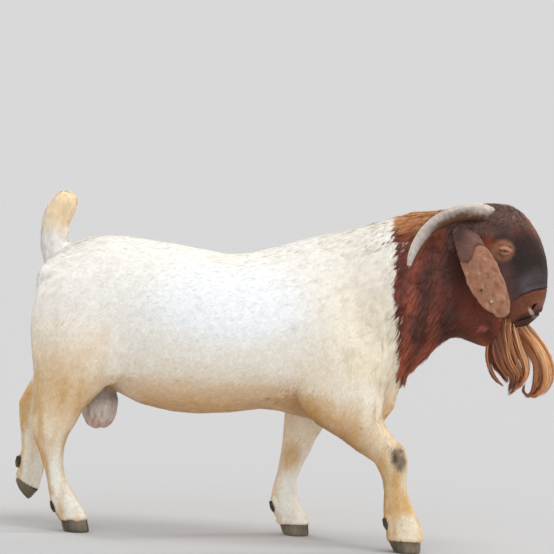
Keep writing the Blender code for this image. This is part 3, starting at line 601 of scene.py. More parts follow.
def nostril_reach(points, side):
    """1 at the rim of the nostril's opening, less inside it, and the way out of it."""
    flip = np.array((1, side, 1))
    out = unit(NOSTRIL_OUT * flip)
    line = unit(NOSTRIL_LINE - out * (NOSTRIL_LINE @ out))
    across_line = np.cross(line, out)
    q = points - at(*(np.array(NOSTRIL) * flip))
    long, wide = q @ line / MM, q @ across_line / MM
    # It is bent like a comma.
    wide = wide - 0.035 * long**2 * np.sign(across_line[0])
    reach = np.hypot(long / NOSTRIL_HALF_SIZES[0], wide / NOSTRIL_HALF_SIZES[1])
    return np.where(np.abs(q @ out) < 16 * MM, reach, 9.0), out


def carve_nostrils(points):
    for side in SIDES.values():
        reach, out = nostril_reach(points, side)
        lift = 1.6 * ridge(reach, 1.5, 0.40) - 7.0 * (1 - smoothstep(reach, 0.55, 1.15))
        points = points + out * (lift * MM)[:, None]
    return points


def lid_frame(side):
    """The eye's middle and its directions out, forward along the lids, and up."""
    flip = np.array((1, side, 1))
    out = unit(GAZE * flip)
    tilt = math.radians(LID_TILT)
    forward = np.array((math.cos(tilt), 0, -math.sin(tilt)))
    forward = unit(forward - out * (forward @ out))
    up = np.cross(out, forward) * side
    return at(*(EYE_HOME * flip)), out, forward, up * np.sign(up[2])


def lid_gap(long, high):
    """How far inside the opening between the lids a point is, in metres, less than 0 outside it."""
    bow = 1 - (long / LID_HALF_LENGTH) ** 2
    return np.minimum(LID_RISE[0] * bow - high, high + LID_RISE[1] * bow)


def shape_lids(points):
    """The lids lie on the eyeball, with a rim round the opening and a crease above and below it."""
    for side in SIDES.values():
        middle, out, forward, up = lid_frame(side)
        q = points - middle
        radius = np.linalg.norm(q, axis=1)
        direction = q / np.maximum(radius, 1e-9)[:, None]
        long, high = q @ forward, q @ up
        gap = lid_gap(long, high) / MM
        creases = 1.0 * ridge(gap, -11.0, 1.6) * (high > 0) + 0.8 * ridge(gap, -6.5, 1.3) * (high < 0)
        over = EYE_RADIUS + LID_THICKNESS + MM * (0.4 * ridge(gap, -1.0, 1.0) - creases)
        # Points inside the lid's radius come out to it, with a soft step at its edge.
        short = over - radius
        wanted = radius + np.clip(short + LID_BLEND, 0, None) ** 2 / (4 * LID_BLEND)
        wanted = np.where(short > LID_BLEND, over, wanted)
        near = smoothstep(direction @ out, 0.25, 0.55) * (radius < LID_REACH)
        lid = radius + (wanted - radius) * near
        opened = smoothstep(gap, -0.35, 0.55) * near
        lid = lid + (EYE_RADIUS - OPENING_DEPTH - lid) * opened
        points = np.where((near > 0)[:, None], middle + direction * lid[:, None], points)
    return points


# ---------------------------------------------------------------- markings

COLOURS = {
    "white": "#eeebe5", "cream": "#efddb9", "tan": "#cfa262", "belly": "#dca869", "shoulder": "#e6d9bf",
    "drape shade": "#cdbb98", "flank": "#dccdb2", "thigh": "#e6c99c", "cool highlight": "#edf1f7", "arm": "#f0ece2",
    "shank shade": "#e2e3dc", "under arm": "#ab7136", "far leg": "#fbf8ee", "far arm light": "#fff1d6",
    "groin brown and shade": "#8a5f3c", "tail": "#f5d08a",
    "scrotum": "#cbbbb0", "scrotum end": "#c99b8c", "scrotum crease shade": "#77655b", "scrotum ridge highlight": "#e4dad2",
    "scrotum patch": "#ded3cc", "scrotum root": "#6f5a4e",
    "callus": "#7d6c5c", "callus dark": "#3f342b", "callus light": "#b7a294",
    "brown": "#743725", "red brown": "#a04e35", "deep brown": "#38190f", "nape": "#c48c55",
    "face": "#2c2321", "face sheen": "#6a5f62", "cheek": "#5c4441", "forehead": "#65483f",
    "forehead rim light": "#9c4a30",
    "muzzle": "#75452f", "muzzle fold shadow": "#1f1411", "muzzle crease highlight": "#8d8286", "nose": "#664c48",
    "lip": "#43281f", "mouth": "#1d1110", "lip patch": "#c6b3a8", "hole": "#120b0a", "throat": "#a9584a",
    "lid": "#97664b", "upper lid": "#b58063", "lower lid": "#c3967a", "lid rim": "#2c1811",
    "lid crease shade": "#5c3a2c",
    "ear root": "#745047", "ear top": "#35221e", "ear": "#9f7057", "ear vein": "#7c4c38",
    "ear mottle": "#cc9e80", "ear shade below crease": "#8d6350", "ear crease shade": "#3d231b", "ear rim": "#b58469",
    "ear back": "#8c6152", "ear scar": "#e8d8cc", "ear wart": "#c79d88",
}
# Patches: middle, half sizes, turn, softness, unevenness, colour and strength.
TRUNK_PATCHES = (
    # The first patch is a painted cool highlight on the upper flank.
    ((-0.100, 0.18, 0.610), (0.200, 0.12, 0.110), 0, 0.3, 0.0, "cool highlight", 0.70),    # flank
    ((-0.515, 0.10, 0.370), (0.085, 0.10, 0.085), 0, 0.6, 0.7, "tan", 0.45),           # thigh
    ((0.150, 0.12, 0.325), (0.080, 0.12, 0.045), -28, 0.6, 0.9, "tan", 0.70),          # elbow
    ((0.235, 0.12, 0.375), (0.050, 0.12, 0.050), -30, 0.7, 0.6, "arm", 0.65),
)
GROIN_BROWN_AND_SHADE = ((-0.425, 0.03, 0.345), (0.050, 0.075, 0.040), 0, 0.6, 0.5, "groin brown and shade", 0.65)
FAR_KNEE = ((0.052, 0.10, 0.205), (0.022, 0.09, 0.040), -15, 0.5, 0.0, "tan", 0.75)
FACE_SHEEN = ((0.630, 0.05, 0.678), (0.040, 0.07, 0.026), 30, 0.7, 0.8, "face sheen", 0.50)
LIP_PATCHES = (
    ((0.6375, 0.041, 0.6045), (0.0115, 0.020, 0.0044), -58, 0.6, 0.8, "lip patch", 0.75),
    ((0.648, 0.030, 0.592), (0.009, 0.020, 0.0035), 10, 0.5, 0.0, "lip patch", 0.22),
)
LID_PATCH = ((0.561, 0.085, 0.7535), (0.032, 0.040, 0.028), 0, 0.25, 0.0, "lid", 0.9)
THROAT_PATCH = ((0.523, 0.044, 0.560), (0.012, 0.030, 0.0075), 0, 0.4, 0.0, "throat", 0.8)
UNDER_JAW_SHADE = ((0.465, 0.05, 0.575), (0.080, 0.10, 0.055), 0, 0.7, 0.0, "deep brown", 0.50)
BEHIND_EAR_SHADE = ((0.440, 0.06, 0.70), (0.036, 0.10, 0.085), 20, 0.6, 0.0, "deep brown", 0.60)
# Calluses of the knees, each on one side: middle, half sizes, turn and softness.
NEAR_CALLUS = (0.336, -0.130, 0.233), (0.018, 0.026, 0.030), 20, 0.4
FAR_CALLUS = (0.085, 0.120, 0.222), (0.014, 0.022, 0.022), 0, 0.3


class Canvas:
    """Colour laid over colour on points of the goat, each layer by its own share at each point."""

    def __init__(self, points, owner, normal, hairs):
        self.points, self.owner, self.hairs = points, owner, hairs
        self.local = mirrored(points) - ORIGIN
        self.x, self.y, self.z = self.local.T
        self.near_side = points[:, 1] < 0
        self.behind = smoothstep(-normal[:, 0], 0.0, 0.85)
        self.below = smoothstep(-normal[:, 2], 0.0, 0.8)
        # Edges of markings wander with the place and, in the coat, from tuft to tuft too.
        self.ragged = wander(points, 0.045, 11) * 0.5 + wander(points, 0.018, 12) * 0.3
        self.rough = self.ragged if hairs is None else self.ragged + (hairs - 0.5) * 1.3
        self.streaks = wander(points * (1, 1, 0.35), 0.026, 16)
        self.colour = np.tile(linear(COLOURS["white"]), (len(points), 1))

    def on(self, *names):
        """Where the points belong to one of these parts."""
        return on_part(self.owner, *names)

    def lay(self, share, colour, strength=1.0):
        """One more layer of colour."""
        share = np.clip(share * strength, 0, 1)[:, None]
        self.colour = self.colour * (1 - share) + linear(COLOURS[colour]) * share

    def patch(self, middle, half_sizes, turn, soft, uneven, colour, strength, where=1.0):
        """A layer in a soft patch, as the tables of patches give it."""
        inside = blot(self.points, middle, half_sizes, turn, soft) * (1 + uneven * self.rough)
        self.lay(where * inside, colour, strength)


def mark_trunk(hide):
    """White, creamy below, with painted cool highlight on the upper flank, painted soft shade in broad
    patches, and painted soft shade of folds in the longer hair of the shoulder.
    """
    x, z, rough, trunk = hide.x, hide.z, hide.rough, hide.on("trunk")
    hide.lay(smoothstep(z + 0.03 * rough, 0.58, 0.32), "cream", 0.60)
    hide.lay(smoothstep(x, 0.02, 0.26) * smoothstep(z + 0.03 * rough, 0.86, 0.5), "shoulder", 0.80)
    # Painted soft shade: darker streaks stand for the shade between the folds of the longer hair.
    drape_shade = wander(hide.points * (1, 1, 0.30), 0.030, 26)
    drape_shade += 0.5 * wander(hide.points * (1, 1, 0.5), 0.012, 27)
    hide.lay(smoothstep(drape_shade, 0.2, 1.3) * smoothstep(x, 0.06, 0.22), "drape shade", 0.42)
    # Painted soft shade in broad, uneven patches over the body.
    hide.lay(smoothstep(wander(hide.points * (0.6, 1, 0.8), 0.075, 28), 0.3, 1.4) * (x < 0.3), "flank", 0.30)
    hide.lay(trunk * (1 - smoothstep(z + 0.03 * rough, 0.335, 0.47)), "belly", 0.30)
    hide.lay(trunk * (1 - smoothstep(z + 0.02 * rough, 0.325, 0.375)), "belly", 0.70)
    low_thigh = (1 - smoothstep(z + 0.04 * rough, 0.36, 0.62)) * smoothstep(z, 0.22, 0.32)
    hide.lay(smoothstep(-x, 0.36, 0.50) * low_thigh, "thigh", 0.50)
    for patch in TRUNK_PATCHES:
        hide.patch(*patch)


def mark_legs(hide):
    """Pale legs, tan behind and in streaks, greyer low down with painted shade. The far foreleg gets painted
    light, as it stands in shade.
    """
    x, z, rough, streaks, legs = hide.x, hide.z, hide.rough, hide.streaks, hide.on(*LEGS)
    far_fore = legs * ~hide.near_side * (x > 0)
    hide.lay(legs * hide.behind * (1 - smoothstep(z, 0.30, 0.36)) * (1 + 0.8 * rough), "tan", 0.80)
    streaked = smoothstep(streaks + 0.4 * rough, 0.0, 1.0)
    hide.lay(legs * streaked * (1 - smoothstep(z, 0.34, 0.42)), "tan", 0.55)
    near_cannon = legs * hide.near_side * (x > 0.1) * (1 - smoothstep(z + 0.02 * rough, 0.18, 0.24))
    near_cannon = near_cannon * smoothstep(z, 0.07, 0.12)
    hide.lay(near_cannon * (0.45 + 0.8 * smoothstep(streaks, -0.4, 0.6)), "tan", 0.60)
    forearm = legs * (x > -0.2) * smoothstep(z, 0.40, 0.28) * smoothstep(z, 0.16, 0.24)
    hide.lay(forearm * (1 + 0.8 * rough), "tan", 0.30)
    # Painted shade: the lower legs are greyer, as the light falls off towards the floor.
    hide.lay(legs * (1 - smoothstep(z, 0.12, 0.26)) * (1 - hide.behind) * (x < 0.1), "shank shade", 0.70)
    lower = hide.on(*[name for name in LEGS if name.endswith("lower")])
    pastern = lower * (1 - smoothstep(z + 0.02 * rough, 0.03, 0.07))
    hide.lay(pastern * smoothstep(streaks, -0.8, 0.6), "tan", 0.40)
    hide.lay((hide.on("trunk") | legs) * hide.below * (z < 0.40), "belly", 0.45)
    hide.lay(legs * hide.below * smoothstep(z, 0.20, 0.27) * (x > 0), "under arm", 0.60)
    # Painted light: the far foreleg is lightened where it stands in shade.
    hide.lay(far_fore, "far leg", 0.40)
    hide.lay(far_fore * smoothstep(z, 0.22, 0.27), "far arm light", 0.50)
    hide.patch(*FAR_KNEE, where=legs * ~hide.near_side)


def mark_rear(hide):
    """Streaks down the thigh, brown hair between the thighs deepened by painted shade, and a golden front to
    the tail.
    """
    x, z, rough = hide.x, hide.z, hide.rough
    thigh = smoothstep(-x, 0.30, 0.45) * smoothstep(z, 0.66, 0.48)
    hide.lay(smoothstep(hide.streaks + 0.5 * rough, 0.0, 1.0) * thigh, "tan", 0.30)
    # Brown hair between the thighs, darkened further as painted shade.
    hide.patch(*GROIN_BROWN_AND_SHADE)
    tail_front = smoothstep(x + 0.02 * rough, -0.612, -0.560) * smoothstep(z, 0.70, 0.76)
    hide.lay(hide.on("tail") * tail_front, "tail", 0.6)


def mark_scrotum(hide):
    """Pinkish grey hide with pale patches, and wrinkles shown by painted shade in their creases and painted
    highlight on their ridges.
    """
    scrotum, wrinkles = hide.on("scrotum"), wander(hide.points * (1, 1, 0.22), 0.008, 17)
    hide.lay(scrotum, "scrotum")
    hide.lay(scrotum * (1 - smoothstep(hide.z, 0.255, 0.29)), "scrotum end", 0.8)
    # Painted shade in the creases of the wrinkles, and painted highlight on their ridges.
    hide.lay(scrotum * smoothstep(wrinkles, 0.2, 0.9), "scrotum crease shade", 0.45)
    hide.lay(scrotum * smoothstep(-wrinkles, 0.3, 0.9), "scrotum ridge highlight", 0.35)
    hide.lay(scrotum * smoothstep(wander(hide.points, 0.022, 18), 0.1, 1.0), "scrotum patch", 0.40)
    hide.lay(scrotum * smoothstep(hide.z, 0.305, 0.335), "scrotum root", 0.5)


def mark_knees(hide):
    """Worn, mottled calluses."""
    knee, mottle = blot(hide.points, *NEAR_CALLUS, False), wander(hide.points, 0.010, 19)
    hide.lay(knee, "callus", 0.95)
    hide.lay(knee * smoothstep(mottle, -0.1, 0.6), "callus dark", 0.75)
    hide.lay(knee * smoothstep(-mottle, 0.3, 0.9), "callus light", 0.5)
    hide.lay(blot(hide.points, *FAR_CALLUS, False), "callus", 0.6)


def mark_neck(hide):
    """Brown head and neck with long red and dark streaks, painted shade under the jaw and behind the ear,
    and painted golden sunlight on the nape.
    """
    x, z, rough = hide.x, hide.z, hide.rough
    # Under the hair the brown reaches a little further back.
    under = 0.0 if hide.hairs is not None else BROWN_UNDER_HAIR
    brown = smoothstep(brown_reach(hide.points) + 0.008 * hide.ragged + under, -0.002, 0.002)
    brown = brown * (1 - hide.on(*LEGS)) * smoothstep(z + 0.01 * rough, 0.405, 0.420)
    brown = np.where(hide.on("head", *EARS), 1.0, brown)
    hide.lay(brown, "brown")
    # Each lock has a little of its own tone.
    hanks = 0.85 * wander(hide.points * (1, 1, 0.35), 0.028, 23) + 0.3 * wander(hide.points, 0.10, 24)
    hanks = hanks if hide.hairs is None else hanks + (hide.hairs - 0.5) * 0.7
    hide.lay(brown * smoothstep(hanks, -0.05, 0.75), "red brown", 0.80)
    hide.lay(brown * smoothstep(-hanks, 0.0, 0.8), "deep brown", 0.72)
    # Painted shade under the jaw.
    hide.patch(*UNDER_JAW_SHADE, where=brown)
    # Painted sunlight: the nape is painted golden where the light catches it.
    nape = smoothstep(z - 0.1 * (x - 0.35) + 0.02 * rough, 0.775, 0.835)
    nape = nape * (1 - smoothstep(x + 0.02 * rough, 0.39, 0.45))
    hide.lay(brown * nape, "nape", 0.85)
    fringe = 1 - smoothstep(z - 0.3 * (x - 0.32) + 0.02 * rough, 0.40, 0.52)
    hide.lay(brown * fringe * hide.on("neck"), "red brown", 0.6)
    # Painted shade behind the ear, under the horn.
    hide.patch(*BEHIND_EAR_SHADE, where=brown)


def mark_face(hide):
    """A nearly black face, dull brown cheeks and forehead, and painted red rim light down the nose."""
    x, z, rough, head = hide.x, hide.z, hide.rough, hide.on("head")
    above = smoothstep(muzzle_height(hide.local) + 0.0015 * rough, -0.001, 0.002)
    cheek = smoothstep(x + 0.25 * (z - 0.70) + 0.008 * rough, 0.525, 0.560)
    cheek = cheek * (1 - smoothstep(z, 0.725, 0.765)) * smoothstep(z, 0.60, 0.64)
    hide.lay(head * cheek * above, "cheek", 0.85)
    hide.lay(head * smoothstep(z - 0.25 * (x - 0.55) + 0.01 * rough, 0.775, 0.805), "forehead", 0.9)
    face = head * smoothstep(x + 0.45 * (z - 0.70) + 0.008 * rough, 0.565, 0.605) * above
    hide.lay(face * (1 - smoothstep(z, 0.775, 0.84)), "face", 0.95)
    hide.patch(*FACE_SHEEN, where=face)
    # Painted rim light: the hair along the front of the nose is painted red where light shines through it.
    rim = head * (1 - smoothstep(hide.y, 0.004, 0.024)) * smoothstep(x + 0.9 * (z - 0.8), 0.60, 0.625)
    hide.lay(rim * smoothstep(z, 0.69, 0.78) * smoothstep(rough, -0.5, 0.5), "forehead rim light", 0.70)


def mark_muzzle(hide):
    """A brown muzzle under a painted shadow in the fold at its edge, with painted highlight on the creases
    above, a grey nose, dark lips, pale patches with painted highlight, and the nostrils painted dark as
    shade.
    """
    x, z, head = hide.x, hide.z, hide.on("head")
    above = muzzle_height(hide.local) + 0.0015 * hide.rough
    muzzle = head * (1 - smoothstep(above, -0.002, 0.001)) * smoothstep(x, 0.575, 0.595)
    hide.lay(muzzle, "muzzle")
    # Painted shadow in the fold along the muzzle's edge.
    hide.lay(head * smoothstep(x, 0.585, 0.61) * ridge(above, 0.0005, 0.0022), "muzzle fold shadow", 0.85)
    # Painted highlight on the creases above the edge.
    for high, strength in ((0.0060, 0.30), (0.0105, 0.16)):
        hide.lay(head * smoothstep(x, 0.600, 0.625) * ridge(above, high, 0.0014), "muzzle crease highlight", strength)
    hide.lay(muzzle * smoothstep(x + 0.4 * (0.62 - z), 0.650, 0.662) * (z < 0.645), "nose", 0.8)
    mouth = (hide.local - MOUTH_MIDDLE) @ MOUTH_UP
    hide.lay(muzzle * (1 - smoothstep(mouth, 0.006, 0.017)) * smoothstep(x, 0.590, 0.615), "lip", 0.85)
    hide.lay(muzzle * (1 - smoothstep(np.abs(mouth), 0.001, 0.004)), "mouth", 0.8)
    # Pale bare patches by the nostril and lip, with painted highlight.
    for patch in LIP_PATCHES:
        hide.patch(*patch, where=head)
    # The nostrils are painted dark inside, as painted shade.
    for side in SIDES.values():
        hide.lay(head * (1 - smoothstep(nostril_reach(hide.points, side)[0], 0.75, 1.15)), "hole", 0.95)


def mark_eyes(hide):
    """Bare, pale lids with a dark rim at the opening, painted highlight on the dome of the upper lid and on
    the lower lid, and painted shade in the crease above.
    """
    head = hide.on("head")
    hide.patch(*LID_PATCH, where=head)
    for side in SIDES.values():
        middle, out, forward, up = lid_frame(side)
        q = hide.points - middle
        gap, upper = lid_gap(q @ forward, q @ up) / MM, q @ up > 0
        near = head * ((q @ out) > 4 * MM) * (np.linalg.norm(q, axis=1) < LID_REACH)
        # Pale upper lid with a painted highlight on its dome.
        hide.lay(near * upper * smoothstep(gap, -12.0, -7.0), "upper lid", 0.75)
        # Pale rim of the lower lid with a painted highlight.
        hide.lay(near * ~upper * ridge(gap, -4.0, 1.3), "lower lid", 0.6)
        hide.lay(near * ridge(gap, 0.1, 0.9), "lid rim", 0.85)
        # Painted shade in the crease above the lid.
        hide.lay(near * upper * ridge(gap, -12.0, 1.6), "lid crease shade", 0.5)
    hide.patch(*THROAT_PATCH, where=head)


def mark_ears(hide):
    """Haired and dark to the crease, then bare, veined and mottled hide, with painted shade in the crease
    and just below it; the near ear's hole is painted dark as shade.
    """
    ear = hide.on(*EARS)
    along, offset = ear_share(hide.points)
    outer = offset[:, 1] > -1 * MM
    bare = ear * smoothstep(along + 0.02 * hide.ragged, EAR_FOLD - 0.02, EAR_FOLD + 0.02)
    hide.lay(ear, "ear root")
    hide.lay(ear * (1 - smoothstep(along + 0.05 * hide.rough, 0.06, 0.30)), "ear top", 0.75)
    hide.lay(bare, "ear")
    veins = wander(np.column_stack([along * 0.16, offset[:, 0], offset[:, 2]]), 0.011, 14)
    hide.lay(bare * smoothstep(veins, 0.1, 0.9), "ear vein", 0.60)
    mottle = wander(hide.points, 0.009, 15) + wander(hide.points, 0.024, 25)
    hide.lay(bare * smoothstep(mottle, 0.3, 1.5), "ear mottle", 0.45)
    # Painted shade on the blade just below the crease.
    hide.lay(bare * (1 - smoothstep(along, EAR_FOLD, EAR_FOLD + 0.25)), "ear shade below crease", 0.45)
    # Painted shade in the crease.
    hide.lay(ear * ridge(along, EAR_FOLD, 0.010), "ear crease shade", 0.8)
    hide.lay(bare * smoothstep(np.linalg.norm(offset, axis=1), 0.034, 0.047), "ear rim", 0.6)
    hide.lay(bare * (offset[:, 1] < -1 * MM), "ear back", 0.6)
    # The hole is painted dark as shade in its dent.
    for mark in EAR_MARKS:
        inside = 1 - smoothstep(on_mark(hide.points, mark, mark[4]), 0.7, 1.2)
        hide.lay(bare * hide.near_side * outer * inside, mark[5], mark[6])


MARKS = (mark_trunk, mark_legs, mark_rear, mark_scrotum, mark_knees, mark_neck, mark_face, mark_muzzle,
         mark_eyes, mark_ears)


def marking(points, owner, normal, hairs=None):
    """The colour of skin and coat at each point, from where it lies on the body."""
    canvas = Canvas(points, owner, normal, hairs)
    for mark in MARKS:
        mark(canvas)
    return canvas.colour


def bareness(points, owner):
    """Where the skin has hardly any hair: nose, lids, ear blades, scrotum and calluses."""
    x, _, z = (mirrored(points) - ORIGIN).T
    head = on_part(owner, "head")
    along, _ = ear_share(points)
    return np.max([
        0.97 * on_part(owner, *EARS) * smoothstep(along, EAR_FOLD - 0.01, EAR_FOLD + 0.04),
        0.9 * on_part(owner, "scrotum"),
        head * smoothstep(x + 0.4 * (0.62 - z), 0.652, 0.664) * (z < 0.643),
        head * blot(points, (0.563, 0.085, 0.7530), (0.027, 0.040, 0.023), 0, 0.3),
        head * blot(points, (0.631, 0.042, 0.604), (0.015, 0.025, 0.008), -55),
        head * blot(points, NOSTRIL, (0.012, 0.020, 0.014)),
        blot(points, NEAR_CALLUS[0], (0.016, 0.024, 0.028), 20, 0.4, False),
    ], axis=0)


# ---------------------------------------------------------------- finishes

TIMES, PLUS, SINE = (("ShaderNodeMath", {"operation": name}) for name in ("MULTIPLY", "ADD", "SINE"))
RANGED, NOISE = ("ShaderNodeMapRange", {}), ("ShaderNodeTexNoise", {})
SCALED, LENGTH = (("ShaderNodeVectorMath", {"operation": name}) for name in ("SCALE", "LENGTH"))
NOISE_LOW, NOISE_HIGH = 0.3, 0.7        # most of a noise texture's values lie between these
# Sizes of the patterns. Streaks and pores of the hide are drawn coarser than real ones, so that they show.
HAIR_PATCH = 18.2 * MM
STREAK = np.array((3.846, 1.429, 2.381)) * MM
PORE = 2.381 * MM
MOTTLE = 8.333 * MM
IRIS_SPOKE = 1.111 * MM
PAPER_TOOTH = 3.333 * MM


def add(tree, kind, settings=None, inputs=()):
    """A node with its settings and its inputs, by name or in order: each is a value, a socket or a node."""
    made = tree.nodes.new(kind)
    for name, value in (settings or {}).items():
        setattr(made, name, value)
    for name, value in inputs.items() if isinstance(inputs, dict) else enumerate(inputs):
        value = value.outputs[0] if isinstance(value, bpy.types.Node) else value
        if isinstance(value, bpy.types.NodeSocket):
            tree.links.new(value, made.inputs[name])
        else:
            made.inputs[name].default_value = value
    return made


def new_finish(name, roughness, specular, sheen=0.0):
    """A material with its tree and its Principled shader."""
    made = bpy.data.materials.new(name)
    made.use_nodes = True
    shader = made.node_tree.nodes["Principled BSDF"]
    shader.inputs["Roughness"].default_value = roughness
    shader.inputs["Specular IOR Level"].default_value = specular
    shader.inputs["Sheen Weight"].default_value = sheen
    return made, made.node_tree, shader


def set_ends(ramp, first, last):
    """The colours at the two ends of a colour ramp."""
    for stop, colour in zip(ramp.color_ramp.elements, (first, last)):
        stop.color = (*linear(colour), 1)


def hair_finish(name, roughness, specular, sheen, strands, root, tip, lines):
    """Hair: single hairs drawn down each tuft, which is shaded at its root and paler at its tip."""
    made, tree, shader = new_finish(name, roughness, specular, sheen)
    colour = add(tree, "ShaderNodeAttribute", {"attribute_name": "marking"}).outputs["Color"]
    strand, along, across = (add(tree, "ShaderNodeAttribute", {"attribute_name": what}).outputs["Fac"]
                             for what in ("strand", "along", "across"))
    place = add(tree, "ShaderNodeTexCoord").outputs["Object"]
    patches = add(tree, *NOISE, {"Vector": place, "Scale": 1 / HAIR_PATCH, "Detail": 3.0})
    tuft_tone = add(tree, *RANGED, (strand, 0, 1, 1 - strands, 1 + strands))
    factor = add(tree, *TIMES, (tuft_tone, add(tree, *RANGED, (along, 0, 1, root, tip))))
    factor = add(tree, *TIMES, (factor, add(tree, *RANGED, (patches, NOISE_LOW, NOISE_HIGH, 0.92, 1.06))))
    # About four hairs side by side in each tuft, other ones in each.
    down = add(tree, "ShaderNodeCombineXYZ", {}, [
        add(tree, *TIMES, pair) for pair in ((across, 7.0), (along, 1.5), (strand, 90.0))])
    hairs = add(tree, *NOISE, {"Vector": down, "Scale": 1.0, "Detail": 1.0})
    hair_tone = add(tree, *RANGED, (hairs, NOISE_LOW, NOISE_HIGH, 1 - lines, 1 + lines))
    base = add(tree, *SCALED, {0: colour, "Scale": add(tree, *TIMES, (factor, hair_tone))})
    tree.links.new(base.outputs[0], shader.inputs["Base Color"])
    return made


def hide_finish():
    """Hide with short hair: fine streaks down the coat, and pores and creases where it is bare."""
    made, tree, shader = new_finish("hide", 0.72, 0.18, 0.03)
    colour = add(tree, "ShaderNodeAttribute", {"attribute_name": "marking"}).outputs["Color"]
    bare = add(tree, "ShaderNodeAttribute", {"attribute_name": "bare"}).outputs["Fac"]
    place = add(tree, "ShaderNodeTexCoord").outputs["Object"]
    streaks = add(tree, "ShaderNodeMapping", {}, {"Vector": place, "Scale": tuple(1 / STREAK)})
    hair = add(tree, *NOISE, {"Vector": streaks, "Scale": 1.0, "Detail": 2.0})
    pores = add(tree, "ShaderNodeTexVoronoi", {}, {"Vector": place, "Scale": 1 / PORE})
    mottle = add(tree, *NOISE, {"Vector": place, "Scale": 1 / MOTTLE, "Detail": 5.0})
    grain = add(tree, "ShaderNodeMix", {"data_type": "FLOAT"}, {0: bare, 2: hair, 3: pores})
    factor = add(tree, *TIMES, (add(tree, *RANGED, (hair, NOISE_LOW, NOISE_HIGH, 0.90, 1.06)),
                                add(tree, *RANGED, (mottle, NOISE_LOW, NOISE_HIGH, 0.86, 1.12))))
    base = add(tree, *SCALED, {0: colour, "Scale": factor})
    tree.links.new(base.outputs[0], shader.inputs["Base Color"])
    tree.links.new(add(tree, *RANGED, (bare, 0, 1, 0.80, 0.52)).outputs[0], shader.inputs["Roughness"])
    bump = add(tree, "ShaderNodeBump", {}, {"Height": grain, "Strength": 0.35, "Distance": 0.6 * MM})
    tree.links.new(bump.outputs[0], shader.inputs["Normal"])
    return made


def keratin_finish(name, light, dark, roughness, rings):
    """Horn or hoof: keratin laid down in layers, with streaks along it and rings round it."""
    made, tree, shader = new_finish(name, roughness, 0.45)
    along, upper = (add(tree, "ShaderNodeAttribute", {"attribute_name": what}).outputs["Fac"]
                    for what in ("along", "upper"))
    grain = add(tree, "ShaderNodeAttribute", {"attribute_name": "grain"}).outputs["Vector"]
    fibre = add(tree, *NOISE, {"Vector": grain, "Scale": 9.0, "Detail": 5.0})
    clouds = add(tree, *NOISE, {"Vector": grain, "Scale": 2.2, "Detail": 3.0})
    wave = add(tree, *SINE, (add(tree, *TIMES, (along, rings)),))
    # On the horn the tone is painted light: pale on the upper side and dark under it; on the hoof it gives
    # paler patches.
    tone = add(tree, *PLUS, (add(tree, *RANGED, (upper, 0, 1, -0.42, 0.92)),
                             add(tree, *RANGED, (clouds, NOISE_LOW, NOISE_HIGH, -0.08, 0.14))))
    tone = add(tree, "ShaderNodeMath", {"operation": "ADD", "use_clamp": True}, (
        tone, add(tree, *RANGED, (wave, -1, 1, -0.04, 0.04))))
    ramp = add(tree, "ShaderNodeValToRGB", {}, {"Fac": tone})
    set_ends(ramp, dark, light)
    streaked = add(tree, *RANGED, (fibre, NOISE_LOW, NOISE_HIGH, 0.80, 1.12))
    base = add(tree, *SCALED, {0: ramp, "Scale": streaked})
    tree.links.new(base.outputs[0], shader.inputs["Base Color"])
    bump = add(tree, "ShaderNodeBump", {}, {"Height": fibre, "Strength": 0.35, "Distance": 0.5 * MM})
    tree.links.new(bump.outputs[0], shader.inputs["Normal"])
    return made


def eye_finish():
    """A wet eyeball: a brown iris with fine spokes, a slot pupil that lies level, and a dark rim."""
    made, tree, shader = new_finish("wet_eye", 0.09, 0.28)
    long, high = (add(tree, "ShaderNodeAttribute", {"attribute_name": what}).outputs["Fac"]
                  for what in ("iris_long", "iris_high"))
    flat = add(tree, "ShaderNodeCombineXYZ", {}, (long, high))
    radius = add(tree, *LENGTH, (flat,)).outputs["Value"]
    spokes = add(tree, *NOISE, {"Vector": flat, "Scale": 1 / IRIS_SPOKE, "Detail": 3.0})
    iris = add(tree, "ShaderNodeValToRGB", {}, {"Fac": add(tree, *RANGED, (radius, 0, IRIS_RADIUS, 0, 1))})
    set_ends(iris, "#8a5a2c", "#2a1710")
    iris.color_ramp.elements[0].position, iris.color_ramp.elements[1].position = 0.45, 0.92
    in_slot = add(tree, "ShaderNodeCombineXYZ", {}, [
        add(tree, *TIMES, (where, 1 / half)) for where, half in zip((long, high), PUPIL_HALF_SIZES)])
    slot = add(tree, *LENGTH, (in_slot,)).outputs["Value"]
    spoke_tone = add(tree, *RANGED, (spokes, NOISE_LOW, NOISE_HIGH, 0.7, 1.3))
    both = add(tree, "ShaderNodeMix", {"data_type": "RGBA"}, {
        0: add(tree, *RANGED, (slot, 0.85, 1.1, 0, 1)), 6: (*linear("#0b0806"), 1),
        7: add(tree, *SCALED, {0: iris, "Scale": spoke_tone})})
    tree.links.new(both.outputs[2], shader.inputs["Base Color"])
    return made


def give(obj, finish):
    """Its finish, and its place on the part's one body."""
    obj.data.materials.clear()
    obj.data.materials.append(finish)
    obj.data.polygons.foreach_set("use_smooth", np.ones(len(obj.data.polygons), bool))
    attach(obj, "root")
    return obj


def store(mesh, name, values):
    """A number or a colour on each point of a mesh."""
    if values.ndim == 1:
        mesh.attributes.new(name, "FLOAT", "POINT").data.foreach_set("value", values.astype(np.float32))
    else:
        rgba = np.column_stack([values, np.ones(len(values))]).astype(np.float32)
        mesh.attributes.new(name, "FLOAT_COLOR", "POINT").data.foreach_set("color", rgba.ravel())


# ---------------------------------------------------------------- skin

skin = make_skin()
skin_tris, skin_ends = triangles_of(skin.data), edges_of(skin.data)
solid_points = points_of(skin.data)
owner = parts(solid_points)
skin_points = sculpt(solid_points, skin_tris, skin_ends, owner)
set_points(skin.data, skin_points)
skin_normals = normals_of(skin_points, skin_tris)
store(skin.data, "marking", marking(skin_points, owner, skin_normals))
store(skin.data, "bare", bareness(skin_points, owner))
give(skin, hide_finish())
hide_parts(*FLESH)


# ---------------------------------------------------------------- the lie, length and density of the coat

